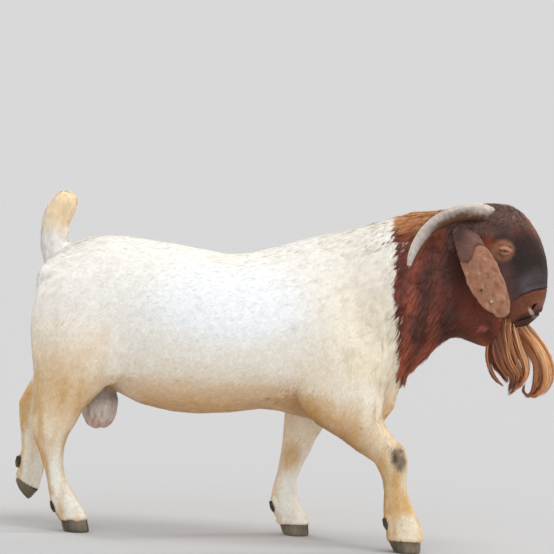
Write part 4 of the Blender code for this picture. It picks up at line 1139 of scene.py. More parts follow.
# Lie of the hair: a place and the way that the hair points there.
LIE = (
    ((-0.50, 0.08, 0.70), (-0.80, 0.30, -0.40)), ((-0.53, 0.10, 0.55), (-0.45, 0.10, -0.90)),
    ((-0.45, 0.13, 0.45), (-0.30, 0.00, -0.95)), ((-0.38, 0.14, 0.62), (-0.80, 0.10, -0.50)),
    ((-0.20, 0.18, 0.60), (-0.92, 0.00, -0.32)), ((-0.20, 0.16, 0.40), (-0.95, 0.00, -0.20)),
    ((-0.25, 0.02, 0.31), (-1.00, 0.00, 0.00)), ((-0.10, 0.05, 0.70), (-0.95, 0.20, -0.10)),
    ((0.00, 0.18, 0.55), (-0.85, 0.00, -0.50)), ((0.05, 0.05, 0.75), (-0.90, 0.30, -0.20)),
    ((0.12, 0.15, 0.62), (-0.65, 0.00, -0.75)), ((0.15, 0.15, 0.45), (-0.50, 0.00, -0.87)),
    ((0.20, 0.05, 0.79), (-0.75, 0.50, -0.35)), ((0.24, 0.12, 0.60), (-0.45, 0.00, -0.90)),
    ((0.25, 0.10, 0.42), (-0.25, 0.00, -0.97)), ((0.27, 0.02, 0.38), (-0.30, 0.00, -0.95)),
    ((0.33, 0.12, 0.70), (-0.50, 0.05, -0.86)), ((0.34, 0.11, 0.55), (-0.42, 0.00, -0.90)),
    ((0.35, 0.03, 0.84), (-0.75, 0.55, -0.30)), ((0.40, 0.09, 0.65), (-0.45, 0.00, -0.90)),
    ((0.42, 0.04, 0.84), (-0.70, 0.55, -0.25)), ((0.38, 0.02, 0.49), (-0.60, 0.00, -0.80)),
    ((0.47, 0.04, 0.53), (-0.80, 0.10, -0.50)), ((0.49, 0.08, 0.65), (-0.70, 0.00, -0.70)),
    ((0.55, 0.07, 0.80), (-0.30, 0.55, -0.40)), ((0.46, 0.07, 0.79), (0.05, 0.35, -0.90)),
    ((0.49, 0.06, 0.81), (0.10, 0.45, -0.80)), ((0.57, 0.02, 0.87), (0.60, 0.45, -0.20)),
    ((0.545, 0.035, 0.858), (-0.95, 0.15, 0.10)), ((0.538, 0.060, 0.838), (-0.70, 0.20, -0.40)),
    ((0.60, 0.03, 0.84), (0.65, 0.35, -0.60)), ((0.64, 0.04, 0.76), (0.20, 0.45, -0.85)),
    ((0.59, 0.07, 0.70), (-0.50, 0.10, -0.60)), ((0.66, 0.02, 0.70), (0.05, 0.35, -0.90)),
    ((0.63, 0.03, 0.62), (-0.40, 0.30, -0.60)), ((0.57, 0.03, 0.57), (-0.50, 0.10, -0.80)),
)
# By part: length, width and height of a tuft's tip over the skin in mm, and tufts for each square metre.
COAT = {
    "trunk": (20.0, 2.5, 1.0, 36000), "neck": (46.0, 2.2, 7.0, 84000), "head": (7.5, 1.3, 1.0, 130000),
    "tail": (26.0, 2.2, 3.6, 90000), "scrotum": (5.0, 0.8, 0.8, 30000), "ear": (5.0, 1.0, 0.5, 30000),
    "upper": (15.0, 2.1, 1.0, 50000), "lower": (9.5, 1.7, 0.9, 76000),
}
EAR_ROOT_COAT = (10.0, 1.4, 1.0, 120000)
# Where the coat differs: middle, half sizes, and factors on length, width, height and density.
COAT_CHANGES = (
    ((0.560, 0.00, 0.850), (0.060, 0.07, 0.035), (2.6, 1.3, 3.2, 0.8)),     # forehead
    ((0.546, 0.04, 0.850), (0.022, 0.05, 0.026), (1.3, 1.0, 1.9, 1.3)),     # collar round the horn
    ((0.470, 0.05, 0.800), (0.040, 0.05, 0.040), (2.2, 1.3, 2.4, 0.8)),     # root of the ear and horn
    ((0.480, 0.06, 0.580), (0.070, 0.08, 0.050), (1.9, 1.2, 2.2, 0.9)),     # under the jaw
    ((0.645, 0.03, 0.615), (0.035, 0.05, 0.045), (0.45, 0.7, 0.5, 1.0)),    # muzzle
    ((0.650, 0.03, 0.700), (0.035, 0.06, 0.060), (0.60, 0.8, 0.6, 1.0)),    # bridge of the nose
    ((0.563, 0.085, 0.752), (0.032, 0.04, 0.028), (0.50, 0.7, 0.12, 0.8)),  # round the eye
    ((0.330, 0.04, 0.830), (0.080, 0.06, 0.030), (0.75, 1.0, 1.2, 1.1)),    # nape
    ((0.330, 0.05, 0.470), (0.040, 0.09, 0.070), (1.25, 1.0, 1.2, 1.0)),    # fringe over the chest
    ((0.308, 0.06, 0.640), (0.030, 0.14, 0.260), (1.0, 1.1, 1.0, 1.7)),     # where white meets brown
    ((0.230, 0.10, 0.480), (0.080, 0.09, 0.160), (1.45, 1.1, 1.1, 1.0)),    # chest and shoulder
    ((0.250, 0.06, 0.370), (0.060, 0.07, 0.060), (1.3, 1.2, 1.1, 1.0)),     # brisket
    ((0.200, 0.10, 0.750), (0.100, 0.10, 0.060), (1.35, 1.0, 1.5, 1.0)),    # withers
    ((-0.100, 0.00, 0.315), (0.300, 0.10, 0.030), (1.4, 1.0, 1.6, 0.9)),    # belly
    ((-0.540, 0.05, 0.640), (0.050, 0.08, 0.070), (1.3, 1.0, 1.5, 1.0)),    # root of the tail
)


def lie_field(points, owner, normal, ends):
    """The way the hair points at each point of the skin, along the surface."""
    local = mirrored(points) - ORIGIN
    total = np.zeros_like(points)
    for place, way in LIE:
        weight = 1 / (np.sum((local - place) ** 2, axis=1) + 0.0006) ** 2
        total += weight[:, None] * np.array(way)
    down = (smoothstep(local[:, 2], 0.46, 0.33) * on_part(owner, *LEGS))[:, None]
    total = unit(total) * (1 - down) + down * np.array((-0.12, 0.0, -1.0))
    total[on_part(owner, "tail")] = (0.10, 0.0, 1.0)
    total[on_part(owner, "scrotum")] = (0, 0, -1)
    along, _ = nearest_on(EAR_LINE, mirrored(points))
    ear = on_part(owner, *EARS)
    ear_ways = unit(np.gradient(EAR_LINE, axis=0))
    total[ear] = ear_ways[np.round(along[ear] * (len(EAR_LINE) - 1)).astype(int)]
    total[:, 1] *= np.where(points[:, 1] < 0, -1, 1)
    total = spread(unit(total), ends, 8)
    total -= normal * np.einsum("ij,ij->i", total, normal)[:, None]
    return unit(total)


def coat_fields(points, owner, ends):
    """Length, width, height and density at each point of the skin."""
    fields = np.column_stack([by_part({k: v[i] for k, v in COAT.items()}, owner) for i in range(4)])
    for middle, half_sizes, factors in COAT_CHANGES:
        inside = blot(points, middle, half_sizes, soft=0.5)[:, None]
        fields *= 1 + inside * (np.array(factors) - 1)
    # Hair hangs over the top of the hoof.
    fields[:, 0] *= 1 + 0.7 * near_hoof(points, 3 * MM, 16 * MM)
    # The long coat of the neck begins where the brown does, and behind it the neck has the trunk's coat.
    short = (on_part(owner, "neck") * (1 - smoothstep(points[:, 0] - ORIGIN[0], 0.298, 0.328)))[:, None]
    fields = fields * (1 - short) + np.array(COAT["trunk"]) * short
    along, _ = ear_share(points)
    hairy = (on_part(owner, *EARS) * (1 - smoothstep(along, EAR_FOLD - 0.05, EAR_FOLD + 0.02)))[:, None]
    fields = spread(fields * (1 - hairy) + np.array(EAR_ROOT_COAT) * hairy, ends, 10)
    bare = np.clip(bareness(points, owner), 0, 1)
    fields[:, 3] *= (1 - bare) * (1 - in_lifted_hoof(points))
    return fields


skin_lie = lie_field(skin_points, owner, skin_normals, skin_ends)
skin_fields = coat_fields(skin_points, owner, skin_ends)
skin_tree = BVHTree.FromPolygons([Vector(p) for p in skin_points], skin_tris.tolist())
triangle_owner = owner[skin_tris[:, 0]]


def unwrapped():
    """A flat unwrap of the skin's shape: three corners for each triangle. It is for the coat's own maps."""
    flat = add_object("unwrap", skin.data.copy())
    bpy.context.view_layer.objects.active = flat
    flat.select_set(True)
    bpy.ops.object.mode_set(mode="EDIT")
    bpy.ops.mesh.select_all(action="SELECT")
    bpy.ops.uv.smart_project(angle_limit=math.radians(66), island_margin=0.004)
    bpy.ops.object.mode_set(mode="OBJECT")
    uv = np.empty(len(flat.data.loops) * 2, np.float32)
    flat.data.uv_layers.active.data.foreach_get("uv", uv)
    flat.data.calc_loop_triangles()
    loops = np.empty(len(flat.data.loop_triangles) * 3, np.int32)
    flat.data.loop_triangles.foreach_get("loops", loops)
    bpy.data.objects.remove(flat)
    return uv.reshape(-1, 2)[loops].reshape(-1, 3, 2)


skin_flat = unwrapped()


class Roots:
    """Places where tufts grow, with what the skin says there."""

    def __init__(self, chosen, rng):
        a, b, c = (skin_points[skin_tris[chosen, i]] for i in range(3))
        area = np.linalg.norm(np.cross(b - a, c - a), axis=1) / 2
        wanted = np.cumsum(area * skin_fields[skin_tris[chosen]].mean(1)[:, 3])
        count = int(wanted[-1])
        picks = (np.arange(count) + rng.uniform(0, 1, count)) / count * wanted[-1]
        face = chosen[np.clip(np.searchsorted(wanted, picks), 0, len(chosen) - 1)]
        share = rng.dirichlet((1, 1, 1), count)
        corners = skin_tris[face]

        def blend(field):
            return np.einsum("ni,nij->nj", share, field[corners])

        self.count = count
        self.place = blend(skin_points)
        self.normal, self.lie = unit(blend(skin_normals)), unit(blend(skin_lie))
        self.length, self.width, self.height = (blend(skin_fields)[:, i] * MM for i in range(3))
        self.flat = np.einsum("ni,nij->nj", share, skin_flat[face])
        self.owner = triangle_owner[face]


ROOT_DEPTH = 0.4 * MM


def combed(roots, rng, steps, swing, wave, wave_length, gather, gather_size, pressed):
    """The middle line of each tuft over the skin, with its upward way, ring by ring."""
    normal = roots.normal
    turn = rng.normal(0, math.radians(swing), roots.count)[:, None]
    lie = unit(roots.lie * np.cos(turn) + np.cross(normal, roots.lie) * np.sin(turn))
    length = roots.length * rng.uniform(0.65, 1.25, roots.count)
    # Most tufts lie flat, some with their tip in the coat again, and a few stand out.
    height = roots.height * (0.35 + 1.9 * rng.uniform(0, 1, roots.count) ** 5)
    flush = rng.uniform(0, 1, roots.count) < pressed
    phase, swell = rng.uniform(0, 2 * math.pi, roots.count), wave * rng.uniform(0.5, 1.3, roots.count)
    line, ups = [roots.place - normal * ROOT_DEPTH], [normal]
    skin_place = roots.place
    for step in range(1, steps + 1):
        t = step / steps
        ahead = skin_place + lie * (length / steps)[:, None]
        hits = [skin_tree.find_nearest(p) for p in ahead.tolist()]
        skin_place = np.array([h[0] for h in hits])
        face = np.array([h[2] for h in hits])
        normal = unit(skin_normals[skin_tris[face]].mean(1))
        field = unit(skin_lie[skin_tris[face]].mean(1))
        beside = np.cross(normal, lie)
        lie = unit(lie * 0.55 + field * 0.45)
        lie = unit(lie - normal * np.einsum("ij,ij->i", lie, normal)[:, None])
        swerve = swell * np.sin(2 * math.pi * t * length / wave_length + phase) * t
        rise = np.where(flush, (0.40 * math.sin(math.pi * t) - 0.15 * t) * MM, height * t**0.8)
        line.append(skin_place + normal * rise[:, None] + beside * swerve[:, None])
        ups.append(normal)
    line, tone = np.array(line), rng.uniform(0, 1, roots.count)
    if gather:
        line, tone = gathered(line, roots, rng, gather, gather_size)
    return line, np.array(ups), tone


def gathered(line, roots, rng, share, size):
    """Tufts drawn together in locks towards their tips, and a tone from 0 to 1 that each lock shares."""
    leaders = rng.permutation(roots.count)[: max(8, int(roots.count * size))]
    tree = KDTree(len(leaders))
    for i, leader in enumerate(leaders):
        tree.insert(roots.place[leader], i)
    tree.balance()
    mine = leaders[[tree.find(p)[1] for p in roots.place.tolist()]]
    t = np.linspace(0, 1, len(line))[:, None, None]
    offset = (roots.place - roots.place[mine])[None]
    target = line[:, mine] + offset * (1 - 0.75 * t)
    return line + (target - line) * (share * t), rng.uniform(0, 1, roots.count)[mine]


MAP_SPOT, MAP_EDGE = 0.003, 0.002       # size of a tuft's spot in the map, and the map's free edge


def by_ring(rows):
    """Three of each ring's rows and one of the tip's, tuft after tuft, as a tuft's points lie."""
    return np.concatenate([np.repeat(rows[:-1], 3, axis=0), rows[-1:]]).transpose(1, 0, 2).reshape(-1, 3)


def tuft_mesh(name, line, ups, width, flatness, flat, colour, strand, softness):
    """Closed, three-sided tufts that taper to a point, joined in one mesh."""
    steps, count = len(line) - 1, line.shape[1]
    along = np.gradient(line, axis=0)
    beside = unit(np.cross(ups, along))
    above = unit(np.cross(along, beside))
    t = np.arange(steps) / steps
    taper = np.interp(t, (0, 0.3, 0.7, 1), (0.75, 1.0, 0.72, 0.3))[:, None, None]
    half = (width / 2)[None, :, None] * taper
    rings = np.stack([line[:-1] + beside[:-1] * half, line[:-1] - beside[:-1] * half,
                      line[:-1] + above[:-1] * half * flatness], axis=2)
    rings = rings.transpose(1, 0, 2, 3).reshape(count, steps * 3, 3)
    points = np.concatenate([rings, line[-1][:, None]], axis=1)
    each = steps * 3 + 1
    faces = [(0, 1, 2)]
    for k in range(steps - 1):
        for i in range(3):
            a, b = k * 3 + i, k * 3 + (i + 1) % 3
            faces += [(a, b + 3, b), (a, a + 3, b + 3)]
    top = (steps - 1) * 3
    faces += [(top + i, each - 1, top + (i + 1) % 3) for i in range(3)]
    faces = np.array(faces)
    every = (faces[None] + (np.arange(count) * each)[:, None, None]).reshape(-1, 3)
    points = points.reshape(-1, 3)
    mesh = mesh_of(name, points, every)
    # Shaded mostly as the skin below is, so that thousands of tufts read as one soft coat.
    soft = unit(by_ring(ups) * softness + normals_of(points, every) * (1 - softness))[every]
    corner_points = points[every]
    sides = corner_points[:, 1:] - corner_points[:, :1]
    flat_way = unit(np.cross(sides[:, 0], sides[:, 1]))[:, None]
    facing = np.einsum("ijk,ijk->ij", soft, np.broadcast_to(flat_way, soft.shape))[..., None]
    mesh.polygons.foreach_set("use_smooth", np.ones(len(every), bool))
    mesh.normals_split_custom_set(np.where(facing > 0.2, soft, flat_way).reshape(-1, 3))
    if colour.ndim == 3:
        # One colour for each ring, not one for the whole tuft.
        colour = by_ring(colour)
    else:
        colour = np.repeat(colour, each, axis=0)
    store(mesh, "marking", colour)
    store(mesh, "strand", np.repeat(strand, each))
    ring_share = np.append(np.repeat(t, 3), 1.0)
    store(mesh, "along", np.tile(ring_share, count))
    store(mesh, "across", np.tile(np.append(np.tile((0.0, 1.0, 0.5), steps), 0.5), count))
    # In the map each tuft has a small spot of its own, round the place of its root.
    spot = np.column_stack([np.append(np.tile((-0.5, 0.5, 0.0), steps), 0.0), ring_share - 0.5]) * MAP_SPOT
    corner = (np.clip(flat, MAP_EDGE, 1 - MAP_EDGE)[:, None] + spot[None]).reshape(-1, 2)[every.ravel()]
    mesh.uv_layers.new(name="OFBake").data.foreach_set("uv", corner.astype(np.float32).ravel())
    return add_object(name, mesh)


def grow(name, chosen, finish, slot, seed, steps=2, swing=9, wave=0.0, wave_length=0.02, gather=0.0,
         gather_size=0.05, flatness=0.15, softness=0.9, pressed=0.7):
    """One piece of the coat, on the chosen triangles of the skin."""
    rng = np.random.default_rng(seed)
    roots = Roots(chosen, rng)
    line, ups, tone = combed(roots, rng, steps, swing, wave, wave_length, gather, gather_size, pressed)
    strand = rng.uniform(0, 1, roots.count)
    colour = marking(roots.place, roots.owner, roots.normal, 0.35 * strand + 0.65 * tone)
    width = roots.width * rng.uniform(0.7, 1.3, roots.count)
    give(tuft_mesh(name, line, ups, width, flatness, roots.flat, colour, strand, softness), finish)


# Short white coat: matt and soft, with a faint sheen and hardly any single hairs to be seen.
short_hair = hair_finish("short_hair", 0.62, 0.20, 0.20, 0.03, 0.99, 1.02, 0.04)
# Long hair of neck and forehead: glossy, dark at its roots and sunlit at its tips.
long_hair = hair_finish("long_hair", 0.38, 0.40, 0.05, 0.22, 0.70, 1.45, 0.30)
# Short hair of face and ears: sleek, with a little gloss.
face_hair = hair_finish("face_hair", 0.46, 0.32, 0.05, 0.14, 0.88, 1.14, 0.18)

centre = skin_points[skin_tris].mean(1) - ORIGIN
forward, height = centre[:, 0], centre[:, 2]
trunk, neck, head, tail = (on_part(triangle_owner, name) for name in ("trunk", "neck", "head", "tail"))
legs = on_part(triangle_owner, *LEGS)
white_neck = neck & (forward < 0.304)
brown_neck = neck & ~white_neck
ear_along, _ = ear_share(centre + ORIGIN)
ear_root = on_part(triangle_owner, *EARS) & (ear_along < 0.06)
above_face = ((height - 0.3 * (forward - 0.55)) > 0.805) | ((forward < 0.505) & (height > 0.735))
brow = head & above_face | ear_root
ears_and_scrotum = on_part(triangle_owner, "scrotum", *EARS) & ~ear_root
LONG_LOCKS = dict(steps=4, swing=7, wave=3.6 * MM, wave_length=0.042, gather=0.75, gather_size=0.045,
                  flatness=0.6, softness=0.35, pressed=0)
CURLY_LOCKS = dict(steps=4, swing=14, wave=2.8 * MM, wave_length=0.022, gather=0.7, gather_size=0.07,
                   flatness=0.5, softness=0.45, pressed=0)
# Each piece of the coat: name, its triangles of the skin, finish, slot and style.
PIECES = (
    ("coat_rump", trunk & (forward < -0.33), short_hair, "white_coat", {}),
    ("coat_barrel", trunk & (forward >= -0.33) & (forward < -0.03), short_hair, "white_coat", {}),
    ("coat_shoulders", trunk & (forward >= -0.03) | white_neck, short_hair, "white_coat",
     dict(gather=0.5, gather_size=0.10)),
    ("coat_forelegs", legs & (forward > -0.1), short_hair, "white_coat", {}),
    ("coat_hindlegs", legs & (forward <= -0.1), short_hair, "white_coat", {}),
    ("coat_tail", tail, short_hair, "white_coat",
     dict(steps=3, swing=12, gather=0.4, gather_size=0.1, pressed=0.15)),
    ("coat_neck_right", brown_neck & (centre[:, 1] < 0), long_hair, "brown_coat", LONG_LOCKS),
    ("coat_neck_left", brown_neck & (centre[:, 1] >= 0), long_hair, "brown_coat", LONG_LOCKS),
    ("coat_face", head & ~brow, face_hair, "brown_coat", dict(swing=12, softness=0.7, pressed=0.35)),
    ("coat_forehead", brow, long_hair, "brown_coat", CURLY_LOCKS),
    ("coat_ears", ears_and_scrotum, face_hair, "ear_skin", dict(swing=12, softness=0.75, pressed=0.4)),
)
for number, (name, chosen, finish, slot, style) in enumerate(PIECES):
    grow(name, np.flatnonzero(chosen), finish, slot, 100 + number, **style)


# ---------------------------------------------------------------- horns

def modifier_input(modifier, tree, name, value):
    """Sets a Geometry Nodes input by its socket's identifier."""
    socket = next(s for s in tree.interface.items_tree if s.name == name and s.in_out == "INPUT")
    modifier[socket.identifier] = value


def new_geometry_tree(name, inputs):
    tree = bpy.data.node_groups.new(name, "GeometryNodeTree")
    tree.interface.new_socket("Geometry", in_out="INPUT", socket_type="NodeSocketGeometry")
    for label, kind, value in inputs:
        socket = tree.interface.new_socket(label, in_out="INPUT", socket_type=kind)
        if value is not None:
            socket.default_value = value
    tree.interface.new_socket("Geometry", in_out="OUTPUT", socket_type="NodeSocketGeometry")
    return tree, add(tree, "NodeGroupInput"), add(tree, "NodeGroupOutput")


def horn_tree():
    """A tube swept along the horn's line, with growth rings that fade towards its tip."""
    tree, given, result = new_geometry_tree("horn_sweep", (
        ("Sides", "NodeSocketInt", 40), ("Rings", "NodeSocketFloat", 21.0),
        ("Ring depth", "NodeSocketFloat", 0.035), ("Flatness", "NodeSocketFloat", 0.78),
        ("Finish", "NodeSocketMaterial", None)))
    share = add(tree, "GeometryNodeSplineParameter").outputs["Factor"]
    turns = add(tree, *TIMES, (add(tree, *TIMES, (share, given.outputs["Rings"])), 2 * math.pi))
    # A second, slower wave keeps the rings from being even.
    uneven = add(tree, *SINE, (add(tree, *TIMES, (share, 23.0)),))
    wave = add(tree, *SINE, (add(tree, *PLUS, (turns, uneven)),))
    fade = add(tree, *RANGED, (share, 0, 0.85, 1, 0))
    rise = add(tree, *TIMES, (add(tree, *TIMES, (wave, given.outputs["Ring depth"])), fade))
    radius = add(tree, *TIMES, (add(tree, "GeometryNodeInputRadius"), add(tree, *PLUS, (rise, 1.0))))
    path = add(tree, "GeometryNodeStoreNamedAttribute", {"data_type": "FLOAT", "domain": "POINT"}, {
        "Geometry": given.outputs["Geometry"], "Name": "along", "Value": share})
    path = add(tree, "GeometryNodeSetCurveNormal", {"mode": "Z_UP"}, {"Curve": path})
    circle = add(tree, "GeometryNodeCurvePrimitiveCircle", {}, {
        "Resolution": given.outputs["Sides"], "Radius": 1.0})
    flat = add(tree, "ShaderNodeCombineXYZ", {}, (given.outputs["Flatness"], 1.0, 1.0))
    profile = add(tree, "GeometryNodeTransform", {}, {"Geometry": circle, "Scale": flat})
    tube = add(tree, "GeometryNodeCurveToMesh", {}, {
        "Curve": path, "Profile Curve": profile, "Scale": radius, "Fill Caps": True})
    real = add(tree, "GeometryNodeRealizeInstances", {}, {"Geometry": tube})
    painted = add(tree, "GeometryNodeSetMaterial", {}, {
        "Geometry": real, "Material": given.outputs["Finish"]})
    tree.links.new(painted.outputs[0], result.inputs["Geometry"])
    return tree


def make_horn(side_name, tree, finish):
    """One horn: the sweep, a little unevenness, and a paler end."""
    side = SIDES[side_name]
    rows = curve_rows(HORN_LINE, 16)
    tip = rows[-1].copy()
    rows = np.vstack([rows, tip + (0, 0, -0.0035, -0.0022), tip + (0, 0, -0.0052, -0.0046)])
    curve = bpy.data.curves.new("horn_line", "CURVE")
    curve.dimensions = "3D"
    spline = curve.splines.new("POLY")
    spline.points.add(len(rows) - 1)
    for point, (x, y, z, radius) in zip(spline.points, rows):
        point.co = (*at(x, side * y, z), 1.0)
        point.radius = radius
    line = add_object("horn_line", curve)
    sweep = line.modifiers.new("Sweep", "NODES")
    sweep.node_group = tree
    modifier_input(sweep, tree, "Finish", finish)
    mesh = evaluated(line)
    bpy.data.objects.remove(line)
    bm = bmesh.new()
    bm.from_mesh(mesh)
    bmesh.ops.recalc_face_normals(bm, faces=bm.faces)
    bm.to_mesh(mesh)
    bm.free()
    points = points_of(mesh)
    points += normals_of(points, triangles_of(mesh)) * (0.35 * MM * wander(points, 0.012, 21))[:, None]
    set_points(mesh, points)
    # Streaks follow the horn: slow along it, quick round it.
    share, off = nearest_on(np.array([at(x, side * y, z) for x, y, z, _ in rows]), points)
    round_it = unit(off)
    # A paler tip, painted shade over the middle of the horn, and painted light: pale where the surface faces
    # up and dark where it faces down.
    tip_light = 0.62 * smoothstep(share, 0.50, 0.95)
    shade = 0.14 * smoothstep(share, 0.22, 0.40) * (1 - smoothstep(share, 0.50, 0.78))
    upper = (normals_of(points, triangles_of(mesh))[:, 2] + 1) / 2
    store(mesh, "upper", upper * (1 - tip_light) + tip_light - shade)
    store(mesh, "grain", np.column_stack([share * 5.0, round_it[:, 1] * 1.2, round_it[:, 2] * 1.2]))
    horn = add_object(f"horn_core_{side_name}", mesh)
    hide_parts(f"horn_{side_name}")
    return give(horn, finish)


# Polished by rubbing: brown at the root with fine rings, and pale at the tip. The upper side is pale with
# painted light, and the underside brown with painted shade.
horn_finish = keratin_finish("horn_keratin", "#d6cec6", "#5a3a22", 0.38, 130.0)
sweep_tree = horn_tree()
for side_name in SIDES:
    make_horn(side_name, sweep_tree, horn_finish)


# ---------------------------------------------------------------- hooves

HOOF_VOXEL = 1.1 * MM
HOOF_SHARE = 0.45           # faces kept after the voxels
LIFTED_TILT = 56.0          # degrees
GROWTH_LINE = 3.4 * MM      # from one growth line to the next
DEWCLAW_DARK = {"fore_right": 0.10, "fore_left": 0.45, "hind_right": 0.45, "hind_left": 0.45}
# Dusty and dark, with paler patches on the wall.
hoof_finish = keratin_finish("hoof_keratin", "#84755f", "#2a231c", 0.42, 0.0)


def make_hoof(foot):
    """The claws and dewclaws of one foot, rounded, with growth lines that follow the coronet."""
    hoof = voxelled(merged(f"hoof_{foot}", CLAWS[foot]), HOOF_VOXEL)
    points, ends, tris = points_of(hoof.data), edges_of(hoof.data), triangles_of(hoof.data)
    points = spread(points, ends, 14)
    normal = normals_of(points, tris)
    middle = points[points[:, 2] < np.median(points[:, 2])].mean(0)
    tilt = math.radians(LIFTED_TILT) if foot == LIFTED_FOOT else 0.0
    rise = (points - middle) @ np.array((math.sin(tilt), 0, math.cos(tilt)))
    along = (rise - rise.min()) / (rise.max() - rise.min())
    lines = np.sin(rise / GROWTH_LINE * 2 * math.pi + 0.8 * wander(points, 0.02, 31))
    points += normal * (0.14 * MM * lines + 0.20 * MM * wander(points, 0.012, 32))[:, None]
    points[:, 2] = np.maximum(points[:, 2], 0.0)
    set_points(hoof.data, points)
    store(hoof.data, "along", along)
    # Paler in patches on the wall, and dark on the dewclaws.
    dark = DEWCLAW_DARK[foot] * smoothstep(along, 0.62, 0.75)
    store(hoof.data, "upper", 0.66 + 0.30 * wander(points, 0.030, 33) - dark)
    store(hoof.data, "grain", np.column_stack([points[:, :2] * 34, points[:, 2] * 2.5]))
    thinned(hoof, HOOF_SHARE)
    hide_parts(*CLAWS[foot])
    return give(hoof, hoof_finish)


for foot in FEET:
    make_hoof(foot)


# ---------------------------------------------------------------- eyes

wet_eye = eye_finish()


def make_eye(side_name):
    """A ball with a slight swelling over the iris."""
    middle, out, forward, up = lid_frame(SIDES[side_name])
    bm = bmesh.new()
    bmesh.ops.create_icosphere(bm, subdivisions=5, radius=1.0)
    mesh = bpy.data.meshes.new(f"eyeball_{side_name}")
    bm.to_mesh(mesh)
    bm.free()
    direction = points_of(mesh)
    facing = direction @ out
    radius = EYE_RADIUS * (1 + CORNEA_RISE * smoothstep(facing, 0.70, 1.0))
    points = direction * radius[:, None]
    # The back of the ball is set far outside the iris.
    store(mesh, "iris_long", points @ forward + (facing < 0))
    store(mesh, "iris_high", points @ up)
    set_points(mesh, points + middle)
    eye = add_object(f"eyeball_{side_name}", mesh)
    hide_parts(f"eye_{side_name}")
    return give(eye, wet_eye)


for side_name in SIDES:
    make_eye(side_name)


# ---------------------------------------------------------------- beard

# Each lock: how many wisps it has, then x and z of its middle line, its half width seen from the side
# and its half thickness.
BEARD = (
    (13, ((0.572, 0.592, 0.030, 0.034), (0.568, 0.562, 0.031, 0.037), (0.572, 0.532, 0.028, 0.030),
          (0.582, 0.498, 0.027, 0.023), (0.595, 0.468, 0.025, 0.018), (0.606, 0.446, 0.020, 0.015),
          (0.606, 0.426, 0.016, 0.011), (0.597, 0.406, 0.011, 0.008), (0.586, 0.390, 0.005, 0.005))),
    (5, ((0.562, 0.588, 0.012, 0.030), (0.553, 0.560, 0.014, 0.032), (0.548, 0.528, 0.014, 0.022),
         (0.550, 0.498, 0.013, 0.015), (0.562, 0.468, 0.011, 0.011), (0.580, 0.442, 0.008, 0.007),
         (0.592, 0.416, 0.004, 0.005))),
    (3, ((0.553, 0.590, 0.008, 0.030), (0.545, 0.560, 0.009, 0.030), (0.536, 0.525, 0.007, 0.014),
         (0.534, 0.496, 0.005, 0.007), (0.539, 0.466, 0.004, 0.005), (0.551, 0.440, 0.004, 0.004),
         (0.566, 0.424, 0.003, 0.004), (0.580, 0.414, 0.002, 0.003))),
    (5, ((0.592, 0.597, 0.014, 0.024), (0.602, 0.548, 0.013, 0.022), (0.613, 0.515, 0.012, 0.017),
         (0.627, 0.485, 0.011, 0.014), (0.633, 0.460, 0.010, 0.012), (0.629, 0.438, 0.009, 0.010),
         (0.618, 0.420, 0.007, 0.008), (0.603, 0.407, 0.004, 0.005))),
    (14, ((0.602, 0.592, 0.016, 0.024), (0.612, 0.562, 0.017, 0.024), (0.634, 0.536, 0.020, 0.023),
          (0.655, 0.508, 0.024, 0.021), (0.671, 0.480, 0.023, 0.019), (0.677, 0.450, 0.021, 0.017),
          (0.673, 0.424, 0.018, 0.014), (0.662, 0.404, 0.013, 0.011), (0.646, 0.394, 0.008, 0.008),
          (0.632, 0.400, 0.004, 0.006))),
    (2, ((0.612, 0.575, 0.006, 0.010), (0.640, 0.510, 0.006, 0.008), (0.654, 0.472, 0.005, 0.007),
         (0.655, 0.436, 0.005, 0.006), (0.650, 0.406, 0.004, 0.005), (0.641, 0.393, 0.004, 0.005),
         (0.630, 0.399, 0.003, 0.004), (0.625, 0.414, 0.003, 0.004), (0.632, 0.430, 0.002, 0.003))),
)
STRANDS_IN_WISP, LOOSE_SHARE = 46, 0.25
BEARD_STEPS = 12
# Long strands: the glossiest hair, with light along each.
beard_hair = hair_finish("beard_hair", 0.30, 0.50, 0.05, 0.08, 0.92, 1.10, 0.16)
# From dark red brown to gold, by how bright a strand is.
BEARD_TONES = ((-1.0, "#4e2412"), (-0.2, "#a45e38"), (0.45, "#dc9862"), (1.1, "#ffdca4"))


